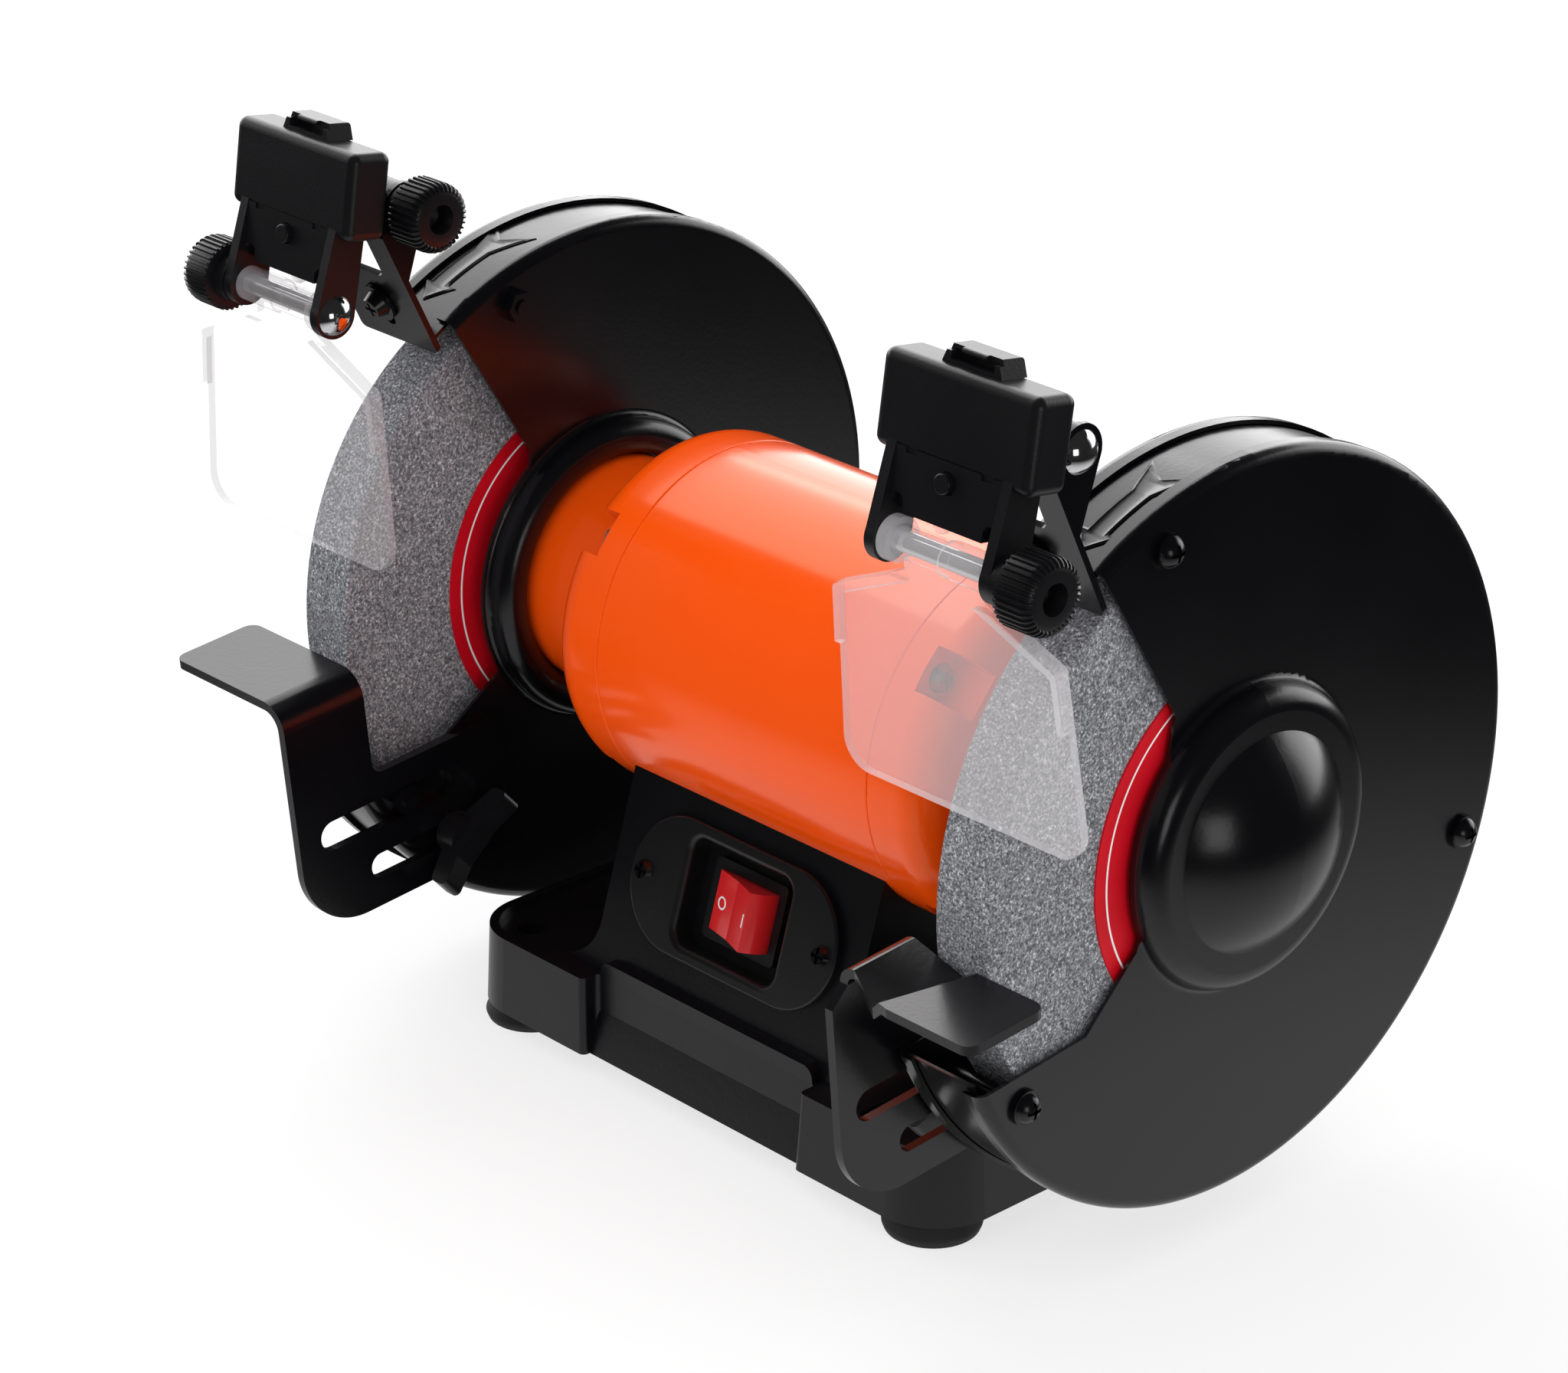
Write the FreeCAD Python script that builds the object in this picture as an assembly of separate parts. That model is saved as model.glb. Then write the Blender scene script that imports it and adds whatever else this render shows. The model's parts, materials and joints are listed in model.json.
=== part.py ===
import FreeCAD, Part
import math
import os

# Bench grinder with two abrasive wheels, tool rests, spark arrestors, work lamps and eye shields.
# Millimetres. X runs along the shaft, the user stands at -Y and Z points up.
# The origin lies on the bench, below the middle of the shaft.

V = FreeCAD.Vector

# General
shaft_height = 131.0
touch_gap = 0.3
turning_gap = 0.05
end_flat = 0.01
screw_radius = 2.5
screw_head_radius = 4.7
screw_head_height = 3.2
nut_corner_radius = 5.2
cross_half_length = 2.6
cross_half_width = 0.55
cross_depth = 1.4
nut_height = 4.0
thread_proud = 1.0

# Wheels and spindle
wheel_radius = 100.0
wheel_width = 20.0
wheel_middle = 141.6
spindle_radius = 8.0
seat_radius = 8.5
edge_round = 0.8
rotor_shaft_radius = 10.0
spindle_reach = 172.0
label_radius = 58.0
label_thickness = 0.6
flange_radius = 38.0
flange_thickness = 5.0
spindle_nut_radius = 13.5
spindle_nut_height = 12.0

# Motor
shell_radius = 57.9
shell_wall = 2.4
shell_half_length = 60.0
seam_round = 0.5
bell_straight = 12.0
bell_round = 12.0
bell_wall = 5.0
bell_spigot = 3.0
neck_step = 19.9
neck_end = 121.0
neck_fillet = 5.0
neck_wall = 6.0
bolt_inset = 7.9
bolt_start_angle = 139.5
bolt_count = 4
bolt_pocket_width = 15.0
bolt_pocket_depth = 12.9
stator_half_length = 30.0
stator_bore = 34.0
rotor_air_gap = 0.6
winding_inner = 36.0
winding_inset = 11.9
winding_reach = 17.0
winding_round = 4.0
end_ring_width = 6.0
bearing_radius = 20.0
bearing_width = 12.0
bearing_start = 99.0
bearing_ring_wall = 3.5
seal_gap = 2.0
ball_radius = 3.35
ball_count = 8

# Guards
sheet = 1.2
guard_radius = 115.0
guard_inner_face = 122.0
guard_cover_face = 155.0
rim_round = 3.6
rim_depth = 7.0
bead_gap = 0.5
bead_width = 11.5
bead_height = 9.0
bead_round = 5.4
boss_radius = 46.5
boss_height = 8.0
boss_round = 7.0
boss_fillet = 2.0
dome_radius = 33.5
dome_height = 15.0
shaft_hole_radius = 14.0
guard_screw_circle = 103.5
guard_screw_angles = (110.5, 212.5, 342.5)
collar_radius = 5.4
collar_height = 1.5
fixing_circle = 28.0
fixing_count = 4
# Corners of the wheel opening, as (Y, Z) from the shaft
opening_top = (-59.7, 93.6)
opening_top_inner = (-30.5, 45.9)
opening_low_inner = (-43.2, -22.8)
opening_knee = (-68.5, -40.2)
opening_low = (-104.1, -44.4)
cover_knee = (-63.0, -42.5)
cover_low = (-99.0, -46.5)
opening_reach = 60.0

# Base
foot_height = 7.0
foot_radius = 15.4
foot_top_radius = 13.2
foot_flare = 1.0
foot_end_inset = 17.0
foot_side_inset = 16.0
bench_hole_radius = 4.5
bench_boss_radius = 9.0
base_half_length = 109.0
base_half_width = 76.0
centre_set_back = 6.5
lobe_inner = 48.5
lobe_top = 33.0
centre_top = 38.0
lobe_corner = 21.0
lobe_step_round = 2.0
lobe_root_round = 1.5
centre_round = 4.0
base_draft = 1.2
base_wall = 4.0
tray_depth = 2.5
tray_rim = 3.0
tray_margin = 1.0
tray_inner_round = 2.0
pedestal_half_length = 56.0
pedestal_top_half_width = 46.0
pedestal_slant = 17.0
pedestal_cove = 14.0
bottom_plate_thickness = 1.5
bottom_plate_lift = 1.0
wire_hole_radius = 7.0
mount_bolt_x = 45.0
mount_bolt_radius = 3.0
mount_bolt_rise = 5.0
mount_head_height = 3.8
saddle_curve_room = 1.2
capacitor_radius = 17.0
capacitor_length = 64.0
capacitor_round = 2.0
capacitor_y = 22.0
gland_x = -28.0
gland_drop = 35.84
gland_radius = 9.0
gland_bore = 4.0
gland_length = 12.0
gland_stem_radius = 7.0
gland_tip_radius = 6.0
gland_flange = 3.0
gland_stem_proud = 1.0

# Switch, measured on the slanted front panel
switch_drop = 27.84
switch_plate_length = 92.0
switch_plate_height = 44.0
switch_plate_thickness = 2.5
recess_length = 45.0
recess_height = 34.5
recess_depth = 8.5
recess_wall = 1.5
recess_floor = 2.0
recess_round = 5.0
recess_lip = 2.0
plate_edge_round = 0.9
switch_screw_radius = 1.8
switch_screw_head_radius = 3.4
switch_screw_head_height = 1.8
switch_screw_reach = 8.0
switch_length = 32.0
switch_height = 26.0
bezel_thickness = 2.5
bezel_overlap = 2.0
bezel_round = 1.5
switch_floor = 3.0
blade_spacing = 8.0
blade_half_width = 3.2
blade_thickness = 0.8
blade_length = 7.0
switch_depth = 20.0
rocker_half_length = 12.6
rocker_half_height = 9.4
rocker_rise = 4.4
rocker_waist = 3.3
rocker_tilt = 21.4
rocker_lift = 1.2
switch_screw_spacing = 80.0

# Tool rests, measured along (s) and across (h) their slots from the lower guard screw
rest_thickness = 3.0
rest_depth_below = 32.0
rest_corner = 23.0
rest_tail = 40.0
rest_tail_top = 14.0
rest_tail_low_round = 10.0
rest_tail_top_round = 6.0
rest_back_round = 4.0
slot_end_room = 1.0
slot_width = 10.0
knob_slot_width = 8.4
slot_spacing = 18.0
knob_along = 16.0
slot_travel_out = 12.0
plain_pitch = 5.5
plain_front = -43.4
plain_back = -12.2
plain_top = 50.0
plain_reach = 174.0
plain_bend = 9.0
plain_slot_front = -34.9
vee_pitch = 4.8
vee_front = -39.2
vee_back = -9.7
vee_top = 47.0
vee_reach = 175.5
vee_drop = 2.0
vee_bend = 6.0
vee_slot_front = -32.8
vee_depth = 5.0
vee_chamfer_start = 35.4
vee_crest_front = -33.0
vee_nose = -37.7
vee_groove_front = 136.5
vee_groove_back = 143.0
vee_edge_front = 139.5
vee_edge_back = 149.0
lower_slot_front = -17.2
table_corner = 4.0
wing_knob_hub_radius = 7.0
wing_knob_hub_length = 8.0
wing_knob_span = 36.0
wing_knob_width = 8.0
wing_knob_height = 11.0
wing_knob_sink = 4.0
wing_knob_dip = 3.0
wing_knob_round = 2.0
wing_knob_angle = 42.0
wing_knob_screw_radius = 3.0
weld_nut_radius = 6.0
weld_nut_height = 4.5

# Spark arrestor, a flat plate leaning forward in front of the guard
arrestor_edge = (-64.5, 88.5)
arrestor_lean = 25.5
arrestor_half_width = 18.6
arrestor_thickness = 2.0
arrestor_height = 28.0
arrestor_arm_width = 10.0
arrestor_arm_top = 46.0
arrestor_corner = 2.0
arrestor_inner_round = 3.0
arrestor_slot_low = 6.5
arrestor_slot_high = 23.0
arrestor_screw_height = 16.0
tab_half_width = 10.0
tab_low = 2.0
tab_high = 24.0
lamp_pivot = (-77.0, 137.5)
pivot_ear_radius = 8.0
pivot_bolt_radius = 3.0
bolt_head_radius = 6.2
bolt_head_height = 3.4
bolt_proud = 2.0

# Lamps, measured from the shield hinge
shield_hinge = (-108.4, 111.2)
lamp_tilt = 8.5
lamp_half_length = 29.0
lamp_front = 2.7
lamp_back = 12.2
lamp_split = 8.5
lamp_low = 23.5
lamp_high = 50.5
lamp_round = 3.0
lamp_wall = 1.8
skirt_half_length = 23.25
skirt_low = 8.2
skirt_back = 4.8
lamp_ear_thickness = 3.5
lamp_ear_radius = 7.2
lug_half_length = 16.3
lug_radius = 7.0
lug_web_half = 5.0
latch_half_length = 11.0
latch_height = 5.0
latch_front = 1.5
latch_back = 11.0
latch_slope = 2.0
latch_round = 1.0
latch_slot_rise = 1.0
latch_slot_depth = 4.0
latch_notch_half = 3.0
latch_notch_depth = 1.6
latch_slot_half = 8.0
latch_slot_height = 2.8
latch_key_half = 4.5
skirt_pocket_radius = 5.0
skirt_pocket_depth = 3.4
seam_width = 0.5
seam_notch_half = 2.0
seam_notch_spacing = 14.0
button_radius = 2.9
button_height = 20.3
button_stand = 2.2
button_travel = 1.0
button_floor = 1.2
button_round = 0.5
led_radius = 2.5
led_offset = -3.0
led_back = 1.0
led_length = 8.0
led_proud = 0.5
cell_radius = 5.1
cell_length = 44.0
cell_tip = 1.0

# Eye shields
shield_tilts = {"left": 1.0, "right": 7.0}
shield_thickness = 2.6
shield_rib = 2.0
shield_rib_width = 2.2
shield_rib_end = 38.0
shield_neck_half = 14.7
shield_neck_low = 8.0
shield_shoulder_half = 42.0
shield_shoulder_low = 20.0
shield_bottom_half = 46.0
shield_bottom = 78.0
shield_corner = 9.0
shield_neck_round = 1.0
shield_shoulder_round = 1.5
axle_radius = 4.6
axle_flange_radius = 6.5
axle_flange_length = 3.5
axle_sleeve_radius = 5.4
axle_sleeve_length = 17.0

# Knurled knobs
knob_radius = 11.0
knob_length = 12.2
knob_hub_radius = 7.5
knob_hub_length = 4.8
knob_flutes = 36
knob_flute_depth = 0.7
knob_edge = 1.5
knob_well_radius = 4.6
knob_well_depth = 7.0

# Sizes that follow from the ones above
wheel_inner_face = wheel_middle - wheel_width / 2
wheel_outer_face = wheel_middle + wheel_width / 2
bell_face = shell_half_length + bell_straight + bell_round
bell_floor = shell_half_length + bell_wall
shell_bore = shell_radius - shell_wall
bearing_end = bearing_start + bearing_width
flange_start = wheel_inner_face - label_thickness - flange_thickness
band_radius = guard_radius - sheet - touch_gap
leg_outer = guard_inner_face - touch_gap
leg_inner = leg_outer - rest_thickness
guide_angle = math.radians(guard_screw_angles[1])
guide_y = guard_screw_circle * math.cos(guide_angle)
guide_z = shaft_height + guard_screw_circle * math.sin(guide_angle)
saddle_z = shaft_height - math.sqrt(shell_radius ** 2 - pedestal_top_half_width ** 2)
switch_z = saddle_z - switch_drop
gland_z = saddle_z - gland_drop
centre_half_width = base_half_width - centre_set_back
foot_x = base_half_length - foot_end_inset
foot_y = base_half_width - foot_side_inset
neck_radius = shell_radius - neck_step
neck_hollow_radius = neck_radius - neck_wall
bead_inner_radius = neck_radius + bead_gap
bead_radius = bead_inner_radius + bead_width
bolt_circle = shell_radius - bolt_inset
bolt_pocket_floor = shell_radius - bolt_pocket_depth
winding_outer = shell_radius - winding_inset
slant_run = math.tan(math.radians(pedestal_slant))
panel_angle = 90 - pedestal_slant
switch_y = -pedestal_top_half_width - (saddle_z - switch_z) * slant_run
gland_y = pedestal_top_half_width + (saddle_z - gland_z) * slant_run
rocker_pivot = switch_plate_thickness - recess_depth + bezel_thickness + rocker_lift
lamp_ear_inner = wheel_middle - skirt_half_length + lamp_ear_thickness
lamp_ear_outer = wheel_middle + skirt_half_length - lamp_ear_thickness


def rounded_wire(corners, place):
    """Closed wire through (a, b, radius) corners; place turns (a, b) into a point in space."""
    entries = []
    middles = []
    exits = []
    for index, (a, b, radius) in enumerate(corners):
        corner = V(a, b, 0)
        behind = corners[index - 1]
        ahead = corners[(index + 1) % len(corners)]
        to_behind = (V(behind[0], behind[1], 0) - corner).normalize()
        to_ahead = (V(ahead[0], ahead[1], 0) - corner).normalize()
        half = to_behind.getAngle(to_ahead) / 2
        inward = to_behind + to_ahead
        reach = radius / math.tan(half)
        entries.append(corner + to_behind * reach)
        exits.append(corner + to_ahead * reach)
        if radius > 0:
            inward.normalize()
            middles.append(corner + inward * (radius / math.sin(half) - radius))
        else:
            middles.append(None)
    edges = []
    for index, middle in enumerate(middles):
        entry = place(entries[index].x, entries[index].y)
        leave = place(exits[index].x, exits[index].y)
        if middle is not None:
            edges.append(Part.Arc(entry, place(middle.x, middle.y), leave).toShape())
        following = entries[(index + 1) % len(entries)]
        following = place(following.x, following.y)
        if leave.distanceToPoint(following) > 1e-6:
            edges.append(Part.LineSegment(leave, following).toShape())
    return Part.Wire(edges)


def plate_x(corners, low, high):
    """Plate between two X values with a (Y, Z, radius) outline."""
    wire = rounded_wire(corners, lambda a, b: V(low, a, b))
    return Part.Face(wire).extrude(V(high - low, 0, 0))


def plate_y(corners, low, high):
    """Plate between two Y values with an (X, Z, radius) outline."""
    wire = rounded_wire(corners, lambda a, b: V(a, low, b))
    return Part.Face(wire).extrude(V(0, high - low, 0))


def plate_z(corners, low, high):
    """Plate between two Z values with an (X, Y, radius) outline."""
    wire = rounded_wire(corners, lambda a, b: V(a, b, low))
    return Part.Face(wire).extrude(V(0, 0, high - low))


def oblong(half_length, half_height, radius):
    """Corners of a centred rectangle with rounded corners."""
    return [(-half_length, -half_height, radius), (half_length, -half_height, radius),
            (half_length, half_height, radius), (-half_length, half_height, radius)]


def spun(corners):
    """Solid turned about the shaft from an (X, distance from shaft, radius) outline."""
    wire = rounded_wire(corners, lambda a, b: V(a, 0, shaft_height + b))
    return Part.Face(wire).revolve(V(0, 0, shaft_height), V(1, 0, 0), 360)


def rod_x(radius, low, high, y=0.0, z=shaft_height):
    """Round bar along X."""
    return Part.makeCylinder(radius, high - low, V(low, y, z), V(1, 0, 0))


def rod_y(radius, low, high, x, z):
    """Round bar along Y."""
    return Part.makeCylinder(radius, high - low, V(x, low, z), V(0, 1, 0))


def rod_z(radius, low, high, x, y):
    """Round bar along Z."""
    return Part.makeCylinder(radius, high - low, V(x, y, low), V(0, 0, 1))


def box(low, high):
    """Box between two corners."""
    return Part.makeBox(high[0] - low[0], high[1] - low[1], high[2] - low[2], V(*low))


def hexagon_x(corner_radius, low, high, y=0.0, z=shaft_height):
    """Six-sided bar along X."""
    corners = []
    for step in range(6):
        angle = math.radians(60 * step)
        corners.append((y + corner_radius * math.cos(angle), z + corner_radius * math.sin(angle), 0))
    return plate_x(corners, low, high)


def dome_head_x(radius, height, start, y, z, direction):
    """Low domed screw head standing on a plane of constant X."""
    ball_size = (radius ** 2 + height ** 2) / (2 * height)
    ball = Part.makeSphere(ball_size, V(start + direction * (height - ball_size), y, z))
    return ball.common(Part.makeCylinder(radius, height, V(start, y, z), V(direction, 0, 0)))


def cross_recess_x(start, y, z):
    """Space of a cross recess in a screw head whose crown stands at start on an X axis."""
    low = start - cross_depth
    high = start + cross_depth
    reach = cross_half_length
    half = cross_half_width
    upright = box((low, y - half, z - reach), (high, y + half, z + reach))
    level = box((low, y - reach, z - half), (high, y + reach, z + half))
    return upright.fuse(level)


def tilted(shape, angle, y, z):
    """Shape turned about the X axis and then set at (Y, Z)."""
    turned = shape.copy()
    turned.rotate(V(0, 0, 0), V(1, 0, 0), angle)
    turned.translate(V(0, y, z))
    return turned


def mirrored(shape):
    """The same piece on the other side of the machine."""
    return shape.mirror(V(0, 0, 0), V(1, 0, 0))


def joined(pieces):
    """One solid from touching pieces."""
    whole = pieces[0].fuse(pieces[1:])
    return whole.removeSplitter()


def on_circle(radius, angle):
    """(Y, Z) of a point round the shaft."""
    turn = math.radians(angle)
    return radius * math.cos(turn), shaft_height + radius * math.sin(turn)


def both_sides(solids):
    """Solids of the right side together with their mirror images."""
    return Part.makeCompound(solids + [mirrored(solid) for solid in solids])


# Base and feet


def skirt_corners(inset, half_width, half_centre):
    """Outline of the base: two end lobes standing proud of a flat middle."""
    end = base_half_length - inset
    side = half_width - inset
    middle = half_centre - inset
    step = lobe_inner + inset
    corner = lobe_corner - inset
    outer = lobe_step_round
    root = lobe_root_round
    right = [(end, -side, corner), (end, side, corner), (step, side, outer), (step, middle, root)]
    left = [(-step, middle, root), (-step, side, outer), (-end, side, corner), (-end, -side, corner)]
    front = [(-step, -side, outer), (-step, -middle, root), (step, -middle, root), (step, -side, outer)]
    return right + left + front


def pedestal_block(inset):
    """Slanted pedestal that carries the motor, drawn in by the inset on every wall."""
    half = pedestal_half_length - inset
    cove = half + pedestal_cove
    low = foot_height
    top = saddle_z
    face = [(-cove, low, 0), (cove, low, 0), (cove, lobe_top - inset, 0),
            (half, lobe_top - inset, pedestal_cove), (half, top, 0), (-half, top, 0),
            (-half, lobe_top - inset, pedestal_cove), (-cove, lobe_top - inset, 0)]
    drop = inset / math.cos(math.radians(pedestal_slant))
    foot_half = pedestal_top_half_width + (top - low) * slant_run - drop
    top_half = pedestal_top_half_width - drop
    side = [(-foot_half, low, 0), (foot_half, low, 0), (top_half, top, 0), (-top_half, top, 0)]
    slab = plate_y(face, -base_half_width, base_half_width)
    return slab.common(plate_x(side, -cove, cove))


def foot_places():
    """(X, Y) of the four feet."""
    return [(x, y) for x in (-foot_x, foot_x) for y in (-foot_y, foot_y)]


def make_base():
    """Hollow casting with a saddle for the motor and a tray in the top of each lobe."""
    low = rounded_wire(skirt_corners(0.0, base_half_width, centre_half_width),
                       lambda a, b: V(a, b, foot_height))
    high = rounded_wire(skirt_corners(base_draft, base_half_width, centre_half_width),
                        lambda a, b: V(a, b, lobe_top))
    skirt = Part.makeLoft([low, high], True, True)
    front = centre_half_width - base_draft
    middle = plate_y([(-lobe_inner, foot_height, 0), (lobe_inner, foot_height, 0),
                      (lobe_inner, centre_top, centre_round), (-lobe_inner, centre_top, centre_round)],
                     -front, front)
    body = joined([skirt, middle, pedestal_block(0.0)])
    body = body.cut(rod_x(shell_radius, -base_half_length, base_half_length))
    hollow = plate_z(skirt_corners(base_wall + base_draft, base_half_width, centre_half_width),
                     foot_height, lobe_top - tray_depth - base_wall)
    body = body.cut(hollow)
    room = pedestal_block(base_wall)
    body = body.cut(room.cut(rod_x(shell_radius + base_wall, -base_half_length, base_half_length)))
    tray_start = pedestal_half_length + pedestal_cove + tray_margin
    tray_end = base_half_length - base_draft - tray_rim
    tray_half = base_half_width - base_draft - tray_rim
    tray_corner = lobe_corner - base_draft - tray_rim
    tray = plate_z([(tray_start, -tray_half, tray_inner_round), (tray_end, -tray_half, tray_corner),
                    (tray_end, tray_half, tray_corner), (tray_start, tray_half, tray_inner_round)],
                   lobe_top - tray_depth, lobe_top)
    body = body.cut([tray, mirrored(tray)])
    bosses = [rod_z(bench_boss_radius, foot_height, lobe_top - tray_depth, x, y) for x, y in foot_places()]
    body = joined([body] + bosses)
    holes = [rod_z(bench_hole_radius, 0.0, lobe_top, x, y) for x, y in foot_places()]
    holes.append(rod_z(wire_hole_radius, lobe_top, shaft_height, 0, 0))
    for x in (-mount_bolt_x, mount_bolt_x):
        holes.append(rod_z(mount_bolt_radius, lobe_top, shaft_height, x, 0))
    body = body.cut(holes)
    outer_half = recess_length / 2 + recess_wall + touch_gap
    outer_height = recess_height / 2 + recess_wall + touch_gap
    window = plate_z(oblong(outer_half, outer_height, recess_round), -2 * recess_depth, recess_depth)
    gland_hole = rod_z(gland_stem_radius, -gland_length, gland_length, gland_x, 0)
    body = body.cut(tilted(window, panel_angle, switch_y, switch_z))
    body = body.cut(tilted(gland_hole, -panel_angle, gland_y, gland_z))
    for side in (-1, 1):
        screw = rod_z(switch_screw_radius, -recess_depth, recess_depth, side * switch_screw_spacing / 2, 0)
        body = body.cut(tilted(screw, panel_angle, switch_y, switch_z))
    return body


def make_bottom_plate():
    """Sheet that closes the underside of the base."""
    low = foot_height + bottom_plate_lift
    outline = skirt_corners(base_wall + base_draft + touch_gap, base_half_width, centre_half_width)
    plate = plate_z(outline, low, low + bottom_plate_thickness)
    holes = [rod_z(bench_boss_radius + touch_gap, foot_height, lobe_top, x, y) for x, y in foot_places()]
    return plate.cut(holes)


def make_feet():
    """Four flared rubber feet with a bench bolt hole through each."""
    feet = []
    for x, y in foot_places():
        outline = [(bench_hole_radius, 0.0, 0), (foot_radius - foot_flare, 0.0, 0.8 * foot_flare),
                   (foot_radius, 2.5 * foot_flare, 1.5 * foot_flare),
                   (foot_top_radius, foot_height, 0), (bench_hole_radius, foot_height, 0)]
        wire = rounded_wire(outline, lambda a, b: V(x + a, y, b))
        feet.append(Part.Face(wire).revolve(V(x, y, 0), V(0, 0, 1), 360))
    return Part.makeCompound(feet)


def make_mount_bolts():
    """Two bolts that hold the motor down on its saddle."""
    bolts = []
    saddle = shaft_height - shell_radius - base_wall
    inside = shaft_height - shell_bore
    for x in (-mount_bolt_x, mount_bolt_x):
        seat = saddle - saddle_curve_room
        shank = rod_z(mount_bolt_radius, seat, inside + mount_bolt_rise, x, 0)
        head = rod_z(1.7 * mount_bolt_radius, seat - mount_head_height, seat, x, 0)
        bolts.append(joined([shank, head]))
    return Part.makeCompound(bolts)


def make_capacitor():
    """Round run capacitor lying on the bottom plate."""
    low = foot_height + bottom_plate_lift + bottom_plate_thickness
    can = rod_x(capacitor_radius, -capacitor_length / 2, capacitor_length / 2, capacitor_y,
                low + capacitor_radius)
    return can.makeFillet(capacitor_round, [can.Edges[0], can.Edges[2]])


def make_gland():
    """Cord inlet in the back of the pedestal, with a locknut inside."""
    nose = rod_z(gland_radius, 0.0, gland_flange, gland_x, 0)
    collar = Part.makeCone(gland_stem_radius, gland_tip_radius, gland_length - gland_flange,
                           V(gland_x, 0, gland_flange), V(0, 0, 1))
    nut_top = -base_wall - touch_gap
    stem = rod_z(gland_stem_radius, nut_top - gland_flange - gland_stem_proud, 0.0, gland_x, 0)
    locknut = rod_z(gland_radius, nut_top - gland_flange, nut_top, gland_x, 0)
    gland = joined([nose, collar, stem, locknut])
    gland = gland.cut(rod_z(gland_bore, -2 * gland_length, 2 * gland_length, gland_x, 0))
    return tilted(gland, -panel_angle, gland_y, gland_z)


# Switch


def on_panel(shape):
    """Place a piece drawn flat on the slanted front panel."""
    return tilted(shape, panel_angle, switch_y, switch_z)


def switch_body_corners():
    """Outline of the switch body behind its bezel."""
    return oblong(switch_length / 2 - bezel_overlap, switch_height / 2 - bezel_overlap, 1.0)


def front_edges(shape, reach):
    """Edges of a plate's front face that lie within that reach of its middle along X."""
    found = []
    for edge in shape.Edges:
        ends = [vertex.Point for vertex in edge.Vertexes]
        in_front = all(abs(point.z - switch_plate_thickness) < seam_round / 10 for point in ends)
        if in_front and all(abs(point.x) < reach for point in ends):
            found.append(edge)
    return found


def make_switch_plate():
    """Moulded cover plate with a rounded edge and a deep well with a soft lip for the switch."""
    half_height = switch_plate_height / 2
    face = plate_z(oblong(switch_plate_length / 2, half_height, half_height - end_flat), 0.0,
                   switch_plate_thickness)
    face = face.makeFillet(plate_edge_round, front_edges(face, switch_plate_length))
    floor = switch_plate_thickness - recess_depth
    rim = oblong(recess_length / 2 + recess_wall, recess_height / 2 + recess_wall, recess_round + recess_wall)
    well = plate_z(rim, floor - recess_floor, switch_plate_thickness)
    plate = joined([face, well])
    plate = plate.cut(plate_z(oblong(recess_length / 2, recess_height / 2, recess_round), floor,
                              switch_plate_thickness))
    mouth = [edge for edge in front_edges(plate, recess_length / 2 + touch_gap)
             if abs(edge.CenterOfMass.y) < recess_height / 2 + touch_gap]
    plate = plate.makeFillet(recess_lip, mouth)
    plate = plate.cut(plate_z(switch_body_corners(), floor - recess_floor, floor))
    for side in (-1, 1):
        x = side * switch_screw_spacing / 2
        plate = plate.cut(rod_z(switch_screw_radius, 0.0, switch_plate_thickness, x, 0))
    return on_panel(plate)


def make_switch_screws():
    """Two small pan-head screws of the switch plate."""
    screws = []
    for side in (-1, 1):
        x = side * switch_screw_spacing / 2
        radius = switch_screw_head_radius
        height = switch_screw_head_height
        head = Part.makeCone(radius, 0.75 * radius, height, V(x, 0, switch_plate_thickness), V(0, 0, 1))
        recess = cross_recess_x(0.0, 0.0, 0.0)
        recess.rotate(V(0, 0, 0), V(0, 1, 0), 90)
        recess.translate(V(x, 0, switch_plate_thickness + height + touch_gap))
        shank = rod_z(switch_screw_radius, -switch_screw_reach, switch_plate_thickness, x, 0)
        screws.append(on_panel(joined([head.cut(recess), shank])))
    return Part.makeCompound(screws)


def make_switch_body():
    """Bezel and body of the rocker switch, hollow above its floor, with blade terminals."""
    floor = switch_plate_thickness - recess_depth
    end = floor - switch_depth
    bezel = plate_z(oblong(switch_length / 2, switch_height / 2, bezel_round), floor, floor + bezel_thickness)
    switch = joined([bezel, plate_z(switch_body_corners(), end, floor)])
    well = plate_z(oblong(rocker_half_length + touch_gap, rocker_half_height + touch_gap, 2 * touch_gap),
                   end + switch_floor, floor + bezel_thickness)
    switch = switch.cut(well)
    half = blade_thickness / 2
    blades = []
    for x in (-blade_spacing, 0.0, blade_spacing):
        blade = box((x - half, -blade_half_width, end - blade_length), (x + half, blade_half_width, end))
        blades.append(blade)
    return on_panel(joined([switch] + blades))


def make_rocker():
    """Rocker key with two shallow slopes, resting with its left end pressed in."""
    half = rocker_half_length + bezel_overlap
    depth = rocker_half_length - bezel_overlap
    profile = [(-half, rocker_rise, 0), (-half, -depth, 0), (half, -depth, 0), (half, rocker_rise, 0),
               (0.0, rocker_waist, 0)]
    key = plate_y(profile, -rocker_half_height, rocker_half_height)
    drum = rod_y(rocker_half_length, -rocker_half_height, rocker_half_height, 0, 0)
    key = key.common(drum)
    key.rotate(V(0, 0, 0), V(0, 1, 0), -rocker_tilt)
    key.translate(V(0, 0, rocker_pivot))
    return on_panel(key)


# Motor


def through_bolt_angles():
    """Angles of the long bolts round the shaft."""
    return [bolt_start_angle + 360.0 / bolt_count * step for step in range(bolt_count)]


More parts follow.
